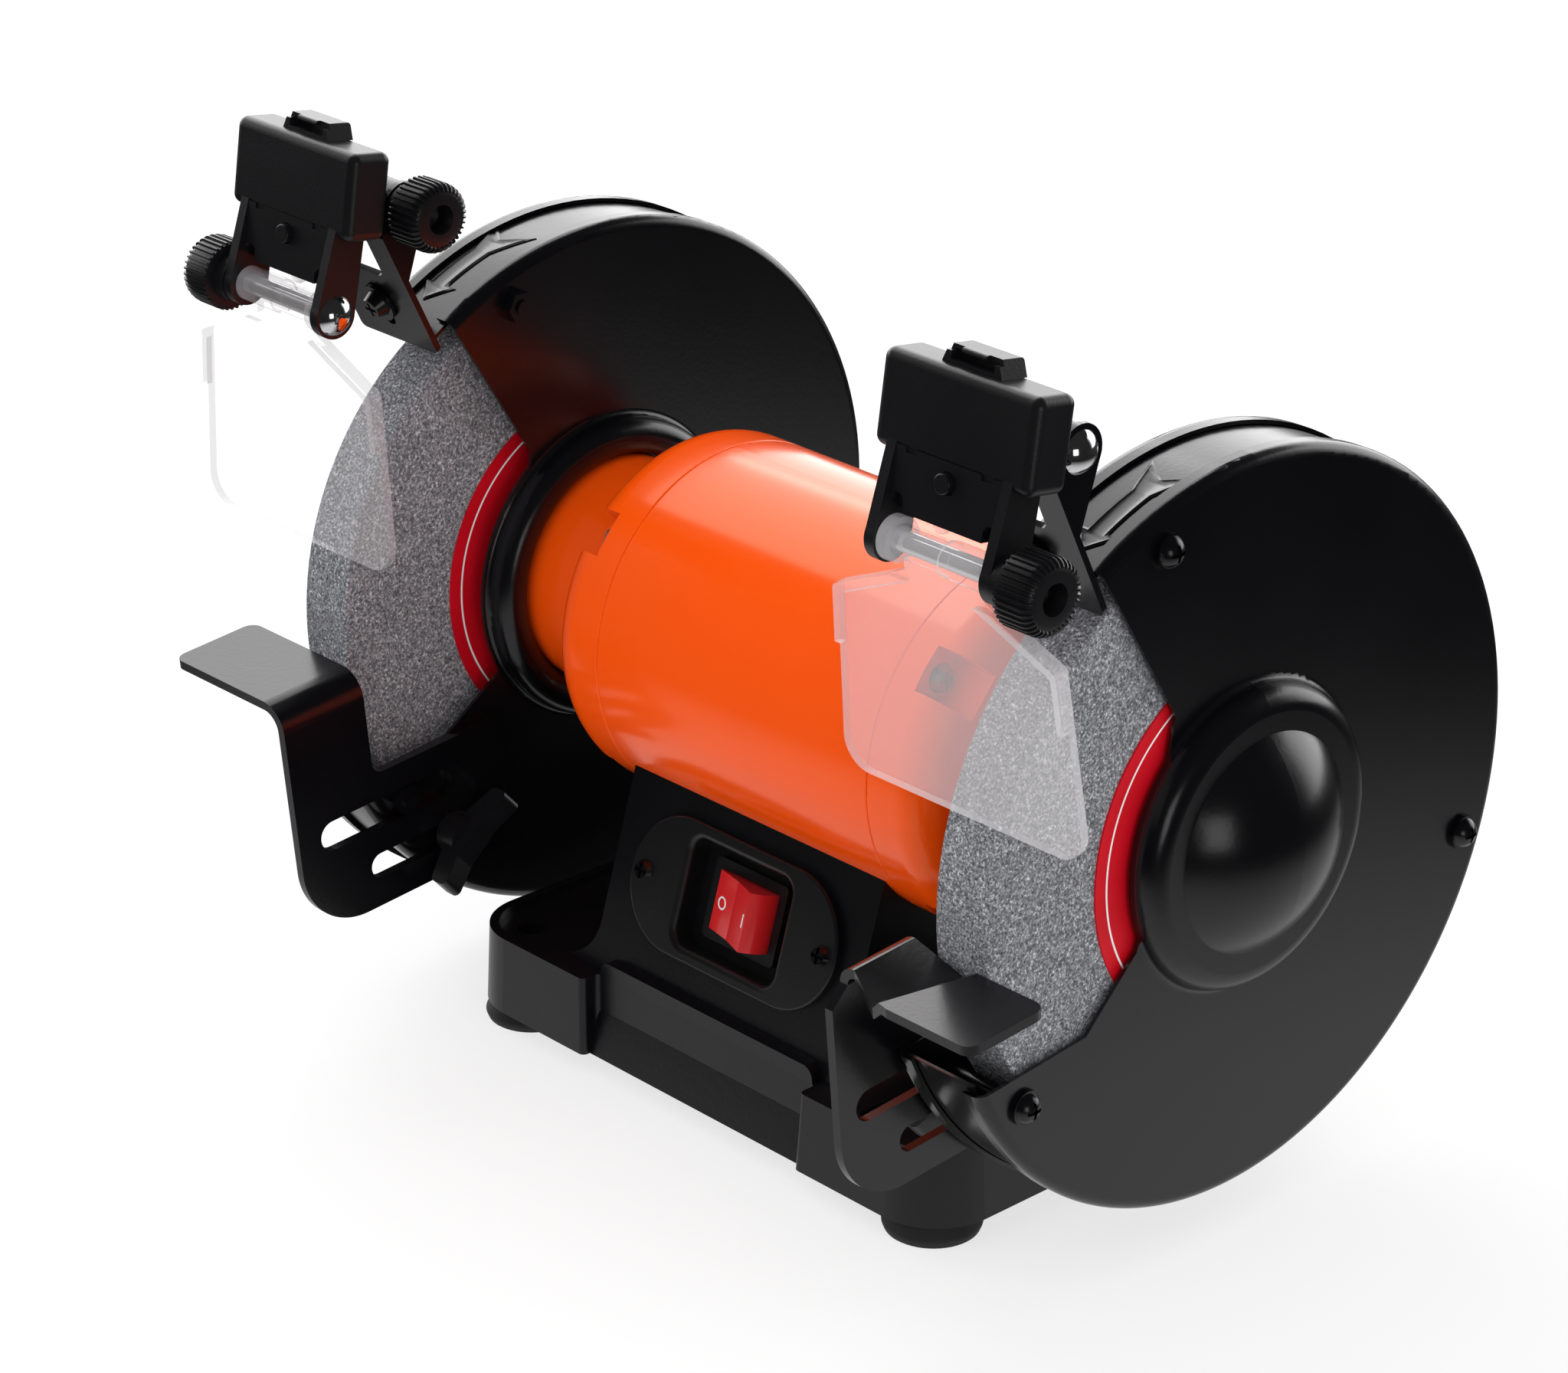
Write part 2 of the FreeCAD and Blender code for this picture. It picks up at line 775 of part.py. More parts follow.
def make_motor_shell():
    """Rolled steel tube between the end bells."""
    half = shell_half_length
    tube = spun([(-half, shell_bore, 0), (-half, shell_radius, seam_round), (half, shell_radius, seam_round),
                 (half, shell_bore, 0)])
    holes = [rod_z(wire_hole_radius, 0.0, shaft_height, 0, 0)]
    for x in (-mount_bolt_x, mount_bolt_x):
        holes.append(rod_z(mount_bolt_radius, 0.0, shaft_height, x, 0))
    return tube.cut(holes)


def make_end_bell():
    """Cast end bell with a rounded shoulder, a neck for the guard and a bearing seat."""
    start = shell_half_length
    bell = spun([(start, 0, 0), (start, shell_radius, seam_round), (bell_face, shell_radius, bell_round),
                 (bell_face, neck_radius, neck_fillet), (neck_end, neck_radius, 2 * seam_round),
                 (neck_end, 0, 0)])
    spigot = rod_x(shell_bore, start - bell_spigot, start)
    bell = joined([bell, spigot])
    room = bolt_circle + screw_radius + touch_gap
    bell = bell.cut([rod_x(room, start - bell_spigot, bell_floor),
                     rod_x(neck_hollow_radius, bell_floor, bearing_start),
                     rod_x(bearing_radius, bearing_start, bearing_end),
                     rod_x(seat_radius + seal_gap, bearing_end, neck_end)])
    cuts = []
    for angle in through_bolt_angles():
        half = bolt_pocket_width / 2
        pocket = box((bell_floor + bell_wall, -half, bolt_pocket_floor),
                     (neck_end, half, shell_radius + bell_wall))
        cuts.append(tilted(pocket, angle - 90, 0, shaft_height))
        y, z = on_circle(bolt_circle, angle)
        cuts.append(rod_x(screw_radius, start, bell_face, y, z))
    for step in range(fixing_count):
        y, z = on_circle(fixing_circle, 45 + 360.0 / fixing_count * step)
        cuts.append(rod_x(screw_radius, bearing_end, neck_end, y, z))
    return bell.cut(cuts)


def make_through_bolts():
    """Four long bolts that clamp the end bells on the shell."""
    bolts = []
    seat = bell_floor + bell_wall
    for angle in through_bolt_angles():
        y, z = on_circle(bolt_circle, angle)
        shank = rod_x(screw_radius, -seat - nut_height - thread_proud, seat, y, z)
        head = dome_head_x(screw_head_radius, screw_head_height, seat, y, z, 1)
        head = head.cut(cross_recess_x(seat + screw_head_height, y, z))
        nut = hexagon_x(nut_corner_radius, -seat - nut_height, -seat, y, z)
        bolts.append(joined([shank, head, nut]))
    return Part.makeCompound(bolts)


def make_stator_core():
    """Laminated stator ring, pressed in the shell and pierced by the long bolts."""
    core = rod_x(shell_bore, -stator_half_length, stator_half_length)
    core = core.cut(rod_x(stator_bore, -stator_half_length, stator_half_length))
    holes = []
    for angle in through_bolt_angles():
        y, z = on_circle(bolt_circle, angle)
        holes.append(rod_x(screw_radius + touch_gap, -stator_half_length, stator_half_length, y, z))
    return core.cut(holes)


def make_stator_windings():
    """End turns of the stator, one bundle at each end of the core."""
    low = stator_half_length
    high = stator_half_length + winding_reach
    bundle = spun([(low, winding_inner, 0), (low, winding_outer, 0), (high, winding_outer, winding_round),
                   (high, winding_inner, winding_round)])
    return both_sides([bundle])


def bearing_race(outer, inner):
    """One ring of a ball bearing, with its ball track."""
    ring = rod_x(outer, bearing_start, bearing_end).cut(rod_x(inner, bearing_start, bearing_end))
    track = ball_radius + touch_gap / 3 if outer == bearing_radius else ball_radius
    middle = (bearing_start + bearing_end) / 2
    pitch = (bearing_radius + seat_radius) / 2
    return ring.cut(Part.makeTorus(pitch, track, V(middle, 0, shaft_height), V(1, 0, 0)))


def make_bearing_balls():
    """Balls of both bearings."""
    pitch = (bearing_radius + seat_radius) / 2
    middle = (bearing_start + bearing_end) / 2
    balls = []
    for step in range(ball_count):
        y, z = on_circle(pitch, 360.0 / ball_count * step)
        balls.append(Part.makeSphere(ball_radius, V(middle, y, z)))
    return both_sides(balls)


# Rotor and wheels


def make_rotor_shaft():
    """Stepped shaft: thick in the middle, bearing seats, then a spindle at each end."""
    half = spun([(0, 0, 0), (0, rotor_shaft_radius, 0), (bearing_start, rotor_shaft_radius, 0),
                 (bearing_start, seat_radius, 0), (flange_start, seat_radius, 0),
                 (flange_start, spindle_radius, 0), (spindle_reach, spindle_radius, edge_round),
                 (spindle_reach, 0, 0)])
    return joined([half, mirrored(half)])


def make_rotor_core():
    """Rotor body with its end rings."""
    core = rod_x(stator_bore - rotor_air_gap, -stator_half_length, stator_half_length)
    for side in (-1, 1):
        end = sorted((side * stator_half_length, side * (stator_half_length + end_ring_width)))
        core = core.fuse(rod_x(stator_bore - end_ring_width, end[0], end[1]))
    hole = stator_half_length + end_ring_width
    return core.removeSplitter().cut(rod_x(rotor_shaft_radius, -hole, hole))


def make_wheel():
    """Straight abrasive wheel."""
    bore = spindle_radius
    return spun([(wheel_inner_face, bore, 0), (wheel_inner_face, wheel_radius, edge_round),
                 (wheel_outer_face, wheel_radius, edge_round), (wheel_outer_face, bore, 0)])


def make_wheel_labels():
    """Round paper labels between the wheels and their flanges."""
    labels = []
    for low in (wheel_inner_face - label_thickness, wheel_outer_face):
        disc = rod_x(label_radius, low, low + label_thickness)
        labels.append(disc.cut(rod_x(spindle_radius, low, low + label_thickness)))
    return both_sides(labels)


def make_wheel_flanges():
    """Clamping flanges on both faces of each wheel."""
    flanges = []
    for low in (flange_start, wheel_outer_face + label_thickness):
        high = low + flange_thickness
        flanges.append(spun([(low, spindle_radius, 0), (low, flange_radius, edge_round),
                             (high, flange_radius, edge_round), (high, spindle_radius, 0)]))
    return both_sides(flanges)


def make_spindle_nuts():
    """Hexagon nuts that clamp the wheels."""
    low = wheel_outer_face + label_thickness + flange_thickness
    nut = hexagon_x(spindle_nut_radius, low, low + spindle_nut_height)
    return both_sides([nut.cut(rod_x(spindle_radius, low, low + spindle_nut_height))])


# Guards


def opening_prism(kept_radius, knee, low):
    """Space removed at the front of a guard disc, kept clear of its central boss."""
    top_run = V(0, opening_top[0] - opening_top_inner[0], opening_top[1] - opening_top_inner[1]).normalize()
    low_run = V(0, low[0] - knee[0], low[1] - knee[1]).normalize()
    top_out = (opening_top[0] + top_run.y * opening_reach, opening_top[1] + top_run.z * opening_reach)
    low_out = (low[0] + low_run.y * opening_reach, low[1] + low_run.z * opening_reach)
    outline = [opening_top_inner, top_out, (low_out[0], top_out[1]), low_out, low, knee, opening_low_inner]
    corners = [(y, shaft_height + z, 0) for y, z in outline]
    prism = plate_x(corners, 0.0, 2 * wheel_middle)
    return prism.cut(rod_x(kept_radius, 0.0, 2 * wheel_middle))


def guard_screw_places():
    """(Y, Z) of the screws that hold a cover to its inner guard."""
    return [on_circle(guard_screw_circle, angle) for angle in guard_screw_angles]


def fixing_places():
    """(Y, Z) of the screws that hold an inner guard to the motor neck."""
    return [on_circle(fixing_circle, 45 + 360.0 / fixing_count * step) for step in range(fixing_count)]


def inner_guard_form(inset):
    """Body of the inner guard, drawn in by the inset from its motor side."""
    face = guard_inner_face + inset
    crest = guard_inner_face - bead_height + inset
    floor = neck_end + inset
    end = guard_inner_face + rim_depth
    rim = guard_radius - inset
    return spun([(end, 0, 0), (end, rim, 0), (face, rim, rim_round - inset),
                 (face, bead_radius - inset, boss_fillet),
                 (crest, bead_radius - inset, bead_round - inset),
                 (crest, bead_inner_radius + inset, bead_round - inset),
                 (floor, bead_inner_radius + inset, 0), (floor, 0, 0)])


def make_inner_guard():
    """Pressed disc on the motor side, with a bead round the neck and a weld nut for the rest knob."""
    guard = inner_guard_form(0.0).cut(inner_guard_form(sheet))
    guard = guard.cut(opening_prism(bead_radius + boss_fillet, opening_knee, opening_low))
    knob_y, knob_z = knob_place()
    nut = hexagon_x(weld_nut_radius, guard_inner_face + sheet, guard_inner_face + sheet + weld_nut_height,
                    knob_y, knob_z)
    guard = joined([guard, nut])
    holes = [rod_x(shaft_hole_radius, 0.0, wheel_middle)]
    reach = guard_inner_face + rim_depth
    for y, z in guard_screw_places() + fixing_places():
        holes.append(rod_x(screw_radius, 0.0, reach, y, z))
    holes.append(rod_x(wing_knob_screw_radius + turning_gap, 0.0, reach, knob_y, knob_z))
    return guard.cut(holes)


def cover_form(inset):
    """Body of the outer cover, drawn in by the inset from its outer side."""
    face = guard_cover_face - inset
    crown = guard_cover_face + boss_height - inset
    start = guard_cover_face - rim_depth
    rim = guard_radius - inset
    plain = spun([(start, 0, 0), (crown, 0, 0), (crown, boss_radius - inset, boss_round - inset / 2),
                  (face, boss_radius - inset, boss_fillet), (face, rim, rim_round - inset), (start, rim, 0)])
    base = guard_cover_face + boss_height
    ball_size = (dome_radius ** 2 + dome_height ** 2) / (2 * dome_height)
    ball = Part.makeSphere(ball_size - inset, V(base + dome_height - ball_size, 0, shaft_height))
    dome = ball.common(rod_x(dome_radius, crown - sheet, base + dome_height))
    return joined([plain, dome])


def make_outer_cover():
    """Pressed cover with a raised boss and a dome over the spindle nut."""
    cover = cover_form(0.0).cut(cover_form(sheet))
    cover = cover.cut(opening_prism(boss_radius, cover_knee, cover_low))
    low = guard_cover_face - rim_depth
    holes = [rod_x(screw_radius, low, guard_cover_face, y, z) for y, z in guard_screw_places()]
    return cover.cut(holes)


def on_arrestor(shape):
    """Place a piece drawn upright on the leaning plane of the spark arrestor."""
    return tilted(shape, arrestor_lean, arrestor_edge[0], shaft_height + arrestor_edge[1])


def make_guard_band():
    """Strip between the two discs, ending at the top in an upright tab for the spark arrestor."""
    low = guard_inner_face + rim_round
    high = guard_cover_face - rim_round
    strip = rod_x(band_radius, low, high).cut(rod_x(band_radius - sheet, low, high))
    front = on_arrestor(box((0.0, -4 * opening_reach, -arrestor_height),
                            (2 * wheel_middle, touch_gap, opening_reach)))
    outline = [(0.0, 0.0), opening_knee, opening_low, (-3 * opening_reach, opening_low[1] * 1.1),
               (-3 * opening_reach, opening_top_inner[1]), opening_top_inner]
    corners = [(y, shaft_height + z, 0) for y, z in outline]
    strip = strip.cut([front, plate_x(corners, 0.0, 2 * wheel_middle)])
    tab = box((wheel_middle - tab_half_width, touch_gap, tab_low),
              (wheel_middle + tab_half_width, touch_gap + sheet, tab_high))
    band = joined([strip, on_arrestor(tab)])
    hole = rod_y(screw_radius, -nut_height, nut_height, wheel_middle, arrestor_screw_height)
    return band.cut(on_arrestor(hole))


def pan_screw_x(start, end, y, z):
    """Pan-head screw along X whose head stands on the plane at start."""
    turn = 1 if start > end else -1
    low, high = sorted((start, end))
    head = dome_head_x(screw_head_radius, screw_head_height, start, y, z, turn)
    head = head.cut(cross_recess_x(start + turn * screw_head_height, y, z))
    return joined([rod_x(screw_radius, low, high, y, z), head])


def make_guard_screws():
    """Cover screws on their collars, neck fixing screws and spark arrestor screws with washers."""
    solids = []
    head_seat = guard_cover_face + collar_height
    for y, z in guard_screw_places():
        collar = rod_x(collar_radius, guard_cover_face, head_seat, y, z)
        screw = pan_screw_x(head_seat, guard_inner_face - nut_height - thread_proud, y, z)
        solids.append(joined([screw, collar]))
    for y, z in fixing_places():
        solids.append(pan_screw_x(neck_end + sheet, bearing_end + thread_proud, y, z))
    solids.append(arrestor_screw())
    return both_sides(solids)


def arrestor_screw():
    """Screw and washer that clamp the spark arrestor plate on the tab of the guard."""
    front = -arrestor_thickness - touch_gap
    back = touch_gap + sheet + nut_height + thread_proud
    shank = rod_y(screw_radius, front, back, wheel_middle, arrestor_screw_height)
    seat = front - sheet
    washer = rod_y(1.4 * screw_head_radius, seat, front, wheel_middle, arrestor_screw_height)
    head = Part.makeCone(screw_head_radius, 0.75 * screw_head_radius, screw_head_height,
                         V(wheel_middle, seat, arrestor_screw_height), V(0, -1, 0))
    recess = cross_recess_x(0.0, 0.0, 0.0)
    recess.rotate(V(0, 0, 0), V(0, 0, 1), 90)
    recess.translate(V(wheel_middle, seat - screw_head_height, arrestor_screw_height))
    return on_arrestor(joined([shank, washer, head.cut(recess)]))


def make_guard_nuts():
    """Nuts on the cover screws and behind the spark arrestor tabs."""
    solids = []
    for y, z in guard_screw_places():
        nut = hexagon_x(nut_corner_radius, guard_inner_face - nut_height, guard_inner_face, y, z)
        solids.append(nut.cut(rod_x(screw_radius, 0.0, wheel_middle, y, z)))
    back = touch_gap + sheet
    corners = []
    for step in range(6):
        angle = math.radians(60 * step)
        corners.append((wheel_middle + nut_corner_radius * math.cos(angle),
                        arrestor_screw_height + nut_corner_radius * math.sin(angle), 0))
    nut = plate_y(corners, back, back + nut_height)
    nut = nut.cut(rod_y(screw_radius, back, back + nut_height, wheel_middle, arrestor_screw_height))
    solids.append(on_arrestor(nut))
    return both_sides(solids)


# Tool rests


def knob_place():
    """(Y, Z) of the rest knobs, below and behind the guard screw that guides the upper slot."""
    turn = math.radians((plain_pitch + vee_pitch) / 2)
    y = guide_y + knob_along * math.cos(turn) + slot_spacing * math.sin(turn)
    z = guide_z + knob_along * math.sin(turn) - slot_spacing * math.cos(turn)
    return y, z


def slot_x(front, back, height, width):
    """Space of a slot with round ends, running through a rest leg."""
    half = width / 2
    outline = [(front, height - half, half - end_flat), (back, height - half, half - end_flat),
               (back, height + half, half - end_flat), (front, height + half, half - end_flat)]
    return plate_x(outline, leg_inner - touch_gap, leg_outer + touch_gap)


def rest_leg(top_corners, back, slot_front):
    """Upright leg of a tool rest with its two slots."""
    outline = top_corners + [(top_corners[-1][0], -rest_depth_below, rest_corner),
                             (rest_tail, -rest_depth_below, rest_tail_low_round),
                             (rest_tail, rest_tail_top, rest_tail_top_round),
                             (back, rest_tail_top, rest_back_round)]
    leg = plate_x(outline, leg_inner, leg_outer)
    upper_back = slot_travel_out + slot_width / 2 + slot_end_room
    lower_back = knob_along + slot_travel_out + knob_slot_width / 2 + slot_end_room
    upper = slot_x(slot_front, upper_back, 0.0, slot_width)
    lower = slot_x(lower_slot_front, lower_back, -slot_spacing, knob_slot_width)
    return leg.cut([upper, lower])


def rest_bend(radius, top, front, back):
    """Quarter bend between the leg and the table of a rest."""
    centre = top - radius
    bend = rod_y(radius, front, back, leg_inner + radius, centre)
    bend = bend.cut(rod_y(radius - rest_thickness, front, back, leg_inner + radius, centre))
    return bend.common(box((leg_inner, front, centre), (leg_inner + radius, back, top)))


def make_plain_rest():
    """Flat tool rest."""
    bend_low = plain_top - plain_bend
    leg = rest_leg([(plain_back, bend_low, 0), (plain_front, bend_low, 0)], plain_back, plain_slot_front)
    bend = rest_bend(plain_bend, plain_top, plain_front, plain_back)
    start = leg_inner + plain_bend
    table = plate_z([(start, plain_front, 0), (plain_reach, plain_front, table_corner),
                     (plain_reach, plain_back, table_corner), (start, plain_back, 0)],
                    plain_top - rest_thickness, plain_top)
    return tilted(joined([leg, bend, table]), plain_pitch, guide_y, guide_z)


def vee_section(groove, edge, s):
    """Outline of the grooved table at one distance along the slots."""
    start = leg_inner + vee_bend
    under = rest_thickness
    table = vee_top - vee_drop
    points = [(start, vee_top), (groove, vee_top - vee_depth), (edge, table), (vee_reach, table),
              (vee_reach, table - under), (edge + 0.4 * under, table - under),
              (groove, vee_top - vee_depth - 1.2 * under), (start, vee_top - under)]
    return rounded_wire([(x, h, 0) for x, h in points], lambda a, b: V(a, s, b))


def make_vee_rest():
    """Tool rest with a slanting groove for drills in its table."""
    bend_low = vee_top - vee_bend
    top = [(vee_back, bend_low, 0), (vee_crest_front, bend_low, 0), (vee_front, vee_chamfer_start, 0)]
    leg = rest_leg(top, vee_back, vee_slot_front)
    bend = rest_bend(vee_bend, vee_top, vee_crest_front, vee_back)
    start = leg_inner + vee_bend
    table = Part.makeLoft([vee_section(vee_groove_front, vee_edge_front, vee_front),
                           vee_section(vee_groove_back, vee_edge_back, vee_back)], True, True)
    plan = plate_z([(start, vee_crest_front, 0), (vee_groove_front, vee_nose, table_corner / 2),
                    (vee_edge_front + table_corner, vee_front, 0), (vee_reach, vee_front, table_corner),
                    (vee_reach, vee_back, table_corner), (start, vee_back, 0)], 0.0, 2 * vee_top)
    return tilted(joined([leg, bend, table.common(plan)]), vee_pitch, guide_y, guide_z)


def make_rest_knob():
    """Wing knob with its screw."""
    y, z = knob_place()
    seat = leg_inner - touch_gap
    hub_end = seat - wing_knob_hub_length
    hub = rod_x(wing_knob_hub_radius, hub_end, seat, y, z)
    screw_end = guard_inner_face + sheet + weld_nut_height + thread_proud
    screw = rod_x(wing_knob_screw_radius, seat, screw_end, y, z)
    half = wing_knob_span / 2
    thick = wing_knob_width / 2
    root = hub_end + wing_knob_sink
    top = root - wing_knob_height
    dip = top + wing_knob_dip
    near = wing_knob_hub_radius
    edge = wing_knob_round
    wing = plate_z([(root, -near, edge), (hub_end, -half, edge), (top, -half, edge), (dip, -near, 2 * edge),
                    (dip, near, 2 * edge), (top, half, edge), (hub_end, half, edge), (root, near, edge)],
                   -thick, thick)
    return joined([hub, screw, tilted(wing, wing_knob_angle, y, z)])


# Spark arrestors and lamp pivots


def make_spark_arrestor():
    """Slotted plate in front of the wheel with two arms whose ears carry the lamp."""
    low = wheel_middle - arrestor_half_width
    high = wheel_middle + arrestor_half_width
    thick = arrestor_thickness
    arm = arrestor_arm_width
    inner = arrestor_inner_round
    outline = [(low, 0.0, arrestor_corner), (high, 0.0, arrestor_corner), (high, arrestor_arm_top, 0),
               (high - arm, arrestor_arm_top, 0), (high - arm, arrestor_height, inner),
               (low + arm, arrestor_height, inner), (low + arm, arrestor_arm_top, 0),
               (low, arrestor_arm_top, 0)]
    plate = plate_y(outline, -thick, 0.0)
    half = screw_radius + touch_gap
    slot = plate_y([(wheel_middle - half, arrestor_slot_low, half - end_flat),
                    (wheel_middle + half, arrestor_slot_low, half - end_flat),
                    (wheel_middle + half, arrestor_slot_high, half - end_flat),
                    (wheel_middle - half, arrestor_slot_high, half - end_flat)], -thick, 0.0)
    plate = plate.cut(slot)
    back, up = pivot_on_arrestor()
    ear = [(-thick, arrestor_height - thick, 0), (-thick, arrestor_arm_top, 0),
           (back - 0.6 * pivot_ear_radius, up + 0.8 * pivot_ear_radius, 0),
           (back + 0.8 * pivot_ear_radius, up - 0.6 * pivot_ear_radius, 0),
           (thick, arrestor_height + thick, arrestor_inner_round)]
    pieces = [plate]
    for edge in (low, high - thick):
        pieces.append(plate_x(ear, edge, edge + thick))
        pieces.append(rod_x(pivot_ear_radius, edge, edge + thick, back, up))
    bracket = joined(pieces).cut(rod_x(pivot_bolt_radius, low, high, back, up))
    return on_arrestor(bracket)


def pivot_on_arrestor():
    """Lamp pivot seen from the leaning plate, as (distance behind it, height along it)."""
    turn = math.radians(arrestor_lean)
    y = lamp_pivot[0] - arrestor_edge[0]
    z = lamp_pivot[1] - arrestor_edge[1]
    return y * math.cos(turn) + z * math.sin(turn), z * math.cos(turn) - y * math.sin(turn)


def carriage_bolt(start, end, y, z):
    """Round-head bolt along X whose head stands on the plane at start."""
    turn = 1 if start > end else -1
    low, high = sorted((start, end))
    head = dome_head_x(bolt_head_radius, bolt_head_height, start, y, z, turn)
    return joined([rod_x(pivot_bolt_radius, low, high, y, z), head])


def make_lamp_bolt():
    """Bolt of the lamp pivot, headed on the outer ear and threaded into the inner knob."""
    outer = wheel_middle + arrestor_half_width
    inner = wheel_middle - arrestor_half_width - knob_hub_length - knob_length + knob_well_depth
    return carriage_bolt(outer, inner - bolt_proud, lamp_pivot[0], shaft_height + lamp_pivot[1])


def knurled_knob(seat, direction, y, z):
    """Fluted knob with a smooth hub against the plane at seat, growing towards direction."""
    corners = []
    for step in range(2 * knob_flutes):
        radius = knob_radius - knob_flute_depth * (step % 2)
        angle = math.pi * step / knob_flutes
        corners.append((y + radius * math.cos(angle), z + radius * math.sin(angle), 0))
    hub_end = seat + direction * knob_hub_length
    end = hub_end + direction * knob_length
    low, high = sorted((hub_end, end))
    core = knob_radius - 2 * knob_flute_depth
    fluted = plate_x(corners, low + knob_edge, high - knob_edge)
    inner = Part.makeCone(core - knob_edge, core, knob_edge, V(low, y, z), V(1, 0, 0))
    outer = Part.makeCone(core, core - knob_edge, knob_edge, V(high - knob_edge, y, z), V(1, 0, 0))
    hub_low, hub_high = sorted((seat, hub_end))
    knob = fluted.fuse([inner, outer, rod_x(knob_hub_radius, hub_low, hub_high, y, z)])
    well_low, well_high = sorted((end, end - direction * knob_well_depth))
    hole_low, hole_high = sorted((seat, end))
    knob = knob.cut(rod_x(knob_well_radius, well_low, well_high, y, z))
    return knob.cut(rod_x(pivot_bolt_radius + turning_gap, hole_low, hole_high, y, z))


def make_lamp_knob():
    """Knob that clamps the lamp pivot, on the motor side."""
    seat = wheel_middle - arrestor_half_width - touch_gap
    return knurled_knob(seat, -1, lamp_pivot[0], shaft_height + lamp_pivot[1])


# Lamps


def on_lamp(shape):
    """Place a piece drawn upright round the shield hinge on the tilted lamp."""
    return tilted(shape, -lamp_tilt, shield_hinge[0], shaft_height + shield_hinge[1])


def pivot_on_lamp():
    """Lamp pivot seen from the tilted lamp, as (distance behind the hinge, height above it)."""
    turn = math.radians(lamp_tilt)
    y = lamp_pivot[0] - shield_hinge[0]
    z = lamp_pivot[1] - shield_hinge[1]
    return y * math.cos(turn) - z * math.sin(turn), z * math.cos(turn) + y * math.sin(turn)


def lamp_block(inset):
    """Rounded battery box of the lamp, drawn in by the inset."""
    low = wheel_middle - lamp_half_length + inset
    high = wheel_middle + lamp_half_length - inset
    block = box((low, -lamp_front + inset, lamp_low + inset), (high, lamp_back - inset, lamp_high - inset))
    return block.makeFillet(lamp_round - inset, block.Edges)


def lamp_half(behind):
    """Space in front of or behind the joint between the lamp housing and its back cover."""
    low = lamp_split if behind else -lamp_back
    high = 3 * lamp_back if behind else lamp_split
    reach = 2 * lamp_half_length
    return box((wheel_middle - reach, low, 0.0), (wheel_middle + reach, high, 2 * lamp_high))


def lamp_seams(left, right):
    """Thin seam below the box, its clip notches and the hollow corners of the lower plate."""
    front = -lamp_front
    line = lamp_low + lamp_round
    cuts = [box((left + lamp_ear_thickness, front, line - seam_width),
                (right - lamp_ear_thickness, front + seam_width, line))]
    for side in (-1, 1):
        middle = wheel_middle + side * seam_notch_spacing
        cuts.append(box((middle - seam_notch_half, front, line - 4 * seam_width),
                        (middle + seam_notch_half, front + seam_width, line)))
    offset = lamp_ear_thickness + skirt_pocket_radius / 2
    for x in (left + offset, right - offset):
        low = skirt_low + skirt_pocket_radius / 2
        cuts.append(rod_y(skirt_pocket_radius / 2, front, front + skirt_pocket_depth, x, low))
        cuts.append(box((x - skirt_pocket_radius / 2, front, skirt_low),
                        (x + skirt_pocket_radius / 2, front + skirt_pocket_depth, low)))
    return cuts


def lamp_latch():
    """Sliding latch on top of the box, with a slot under it and a notch each side of its key."""
    mid = wheel_middle
    top = lamp_high + latch_height
    foot = latch_half_length
    crest = latch_half_length - latch_slope
    front = latch_front
    latch = plate_x([(latch_back, lamp_high, 0), (latch_back, top, latch_round), (front, top, latch_round),
                     (front, lamp_high, 0)], mid - foot, mid + foot)
    slope = plate_y([(mid - foot, lamp_high, 0), (mid + foot, lamp_high, 0), (mid + crest, top, 0),
                     (mid - crest, top, 0)], 0.0, 2 * lamp_back)
    slot_low = lamp_high + latch_slot_rise
    slot_high = slot_low + latch_slot_height
    slot_half = latch_slot_half
    cuts = [box((mid - slot_half, 0.0, slot_low), (mid + slot_half, front + latch_slot_depth, slot_high))]
    for side in (-1, 1):
        place = mid + side * (latch_key_half + latch_notch_half)
        cuts.append(box((place - latch_notch_half, 0.0, slot_high - seam_width),
                        (place + latch_notch_half, front + latch_notch_depth, top)))
    return latch.common(slope).cut(cuts)


def make_lamp_housing():
    """Front shell with its lower plate, the two shield ears and the latch on top."""
    shell = lamp_block(0.0).cut(lamp_block(lamp_wall)).common(lamp_half(False))
    left = wheel_middle - skirt_half_length
    right = wheel_middle + skirt_half_length
    joint = lamp_low + lamp_round
    skirt = box((left, -lamp_front, skirt_low), (right, skirt_back, joint))
    skirt = skirt.cut(lamp_block(lamp_wall))
    ear = [(-lamp_front, joint, 0), (lamp_split, joint, 0), (lamp_ear_radius, 0.0, 0),
           (-lamp_ear_radius, 0.0, 0)]
    pieces = [shell, skirt]
    for edge in (left, right - lamp_ear_thickness):
        flap = plate_x(ear, edge, edge + lamp_ear_thickness).cut(lamp_block(lamp_wall))
        pieces.append(flap)
        pieces.append(rod_x(lamp_ear_radius, edge, edge + lamp_ear_thickness, 0.0, 0.0))
    mid = wheel_middle
    pieces.append(lamp_latch())
    housing = joined(pieces).cut(lamp_seams(left, right))
    hole = rod_y(button_radius + touch_gap, -lamp_front, skirt_back - button_floor, mid, button_height)
    led_hole = rod_z(led_radius, skirt_low, skirt_low + led_length, mid + led_offset, led_back)
    hinge_hole = rod_x(pivot_bolt_radius, left, right, 0.0, 0.0)
    return on_lamp(housing.cut([hole, led_hole, hinge_hole]))


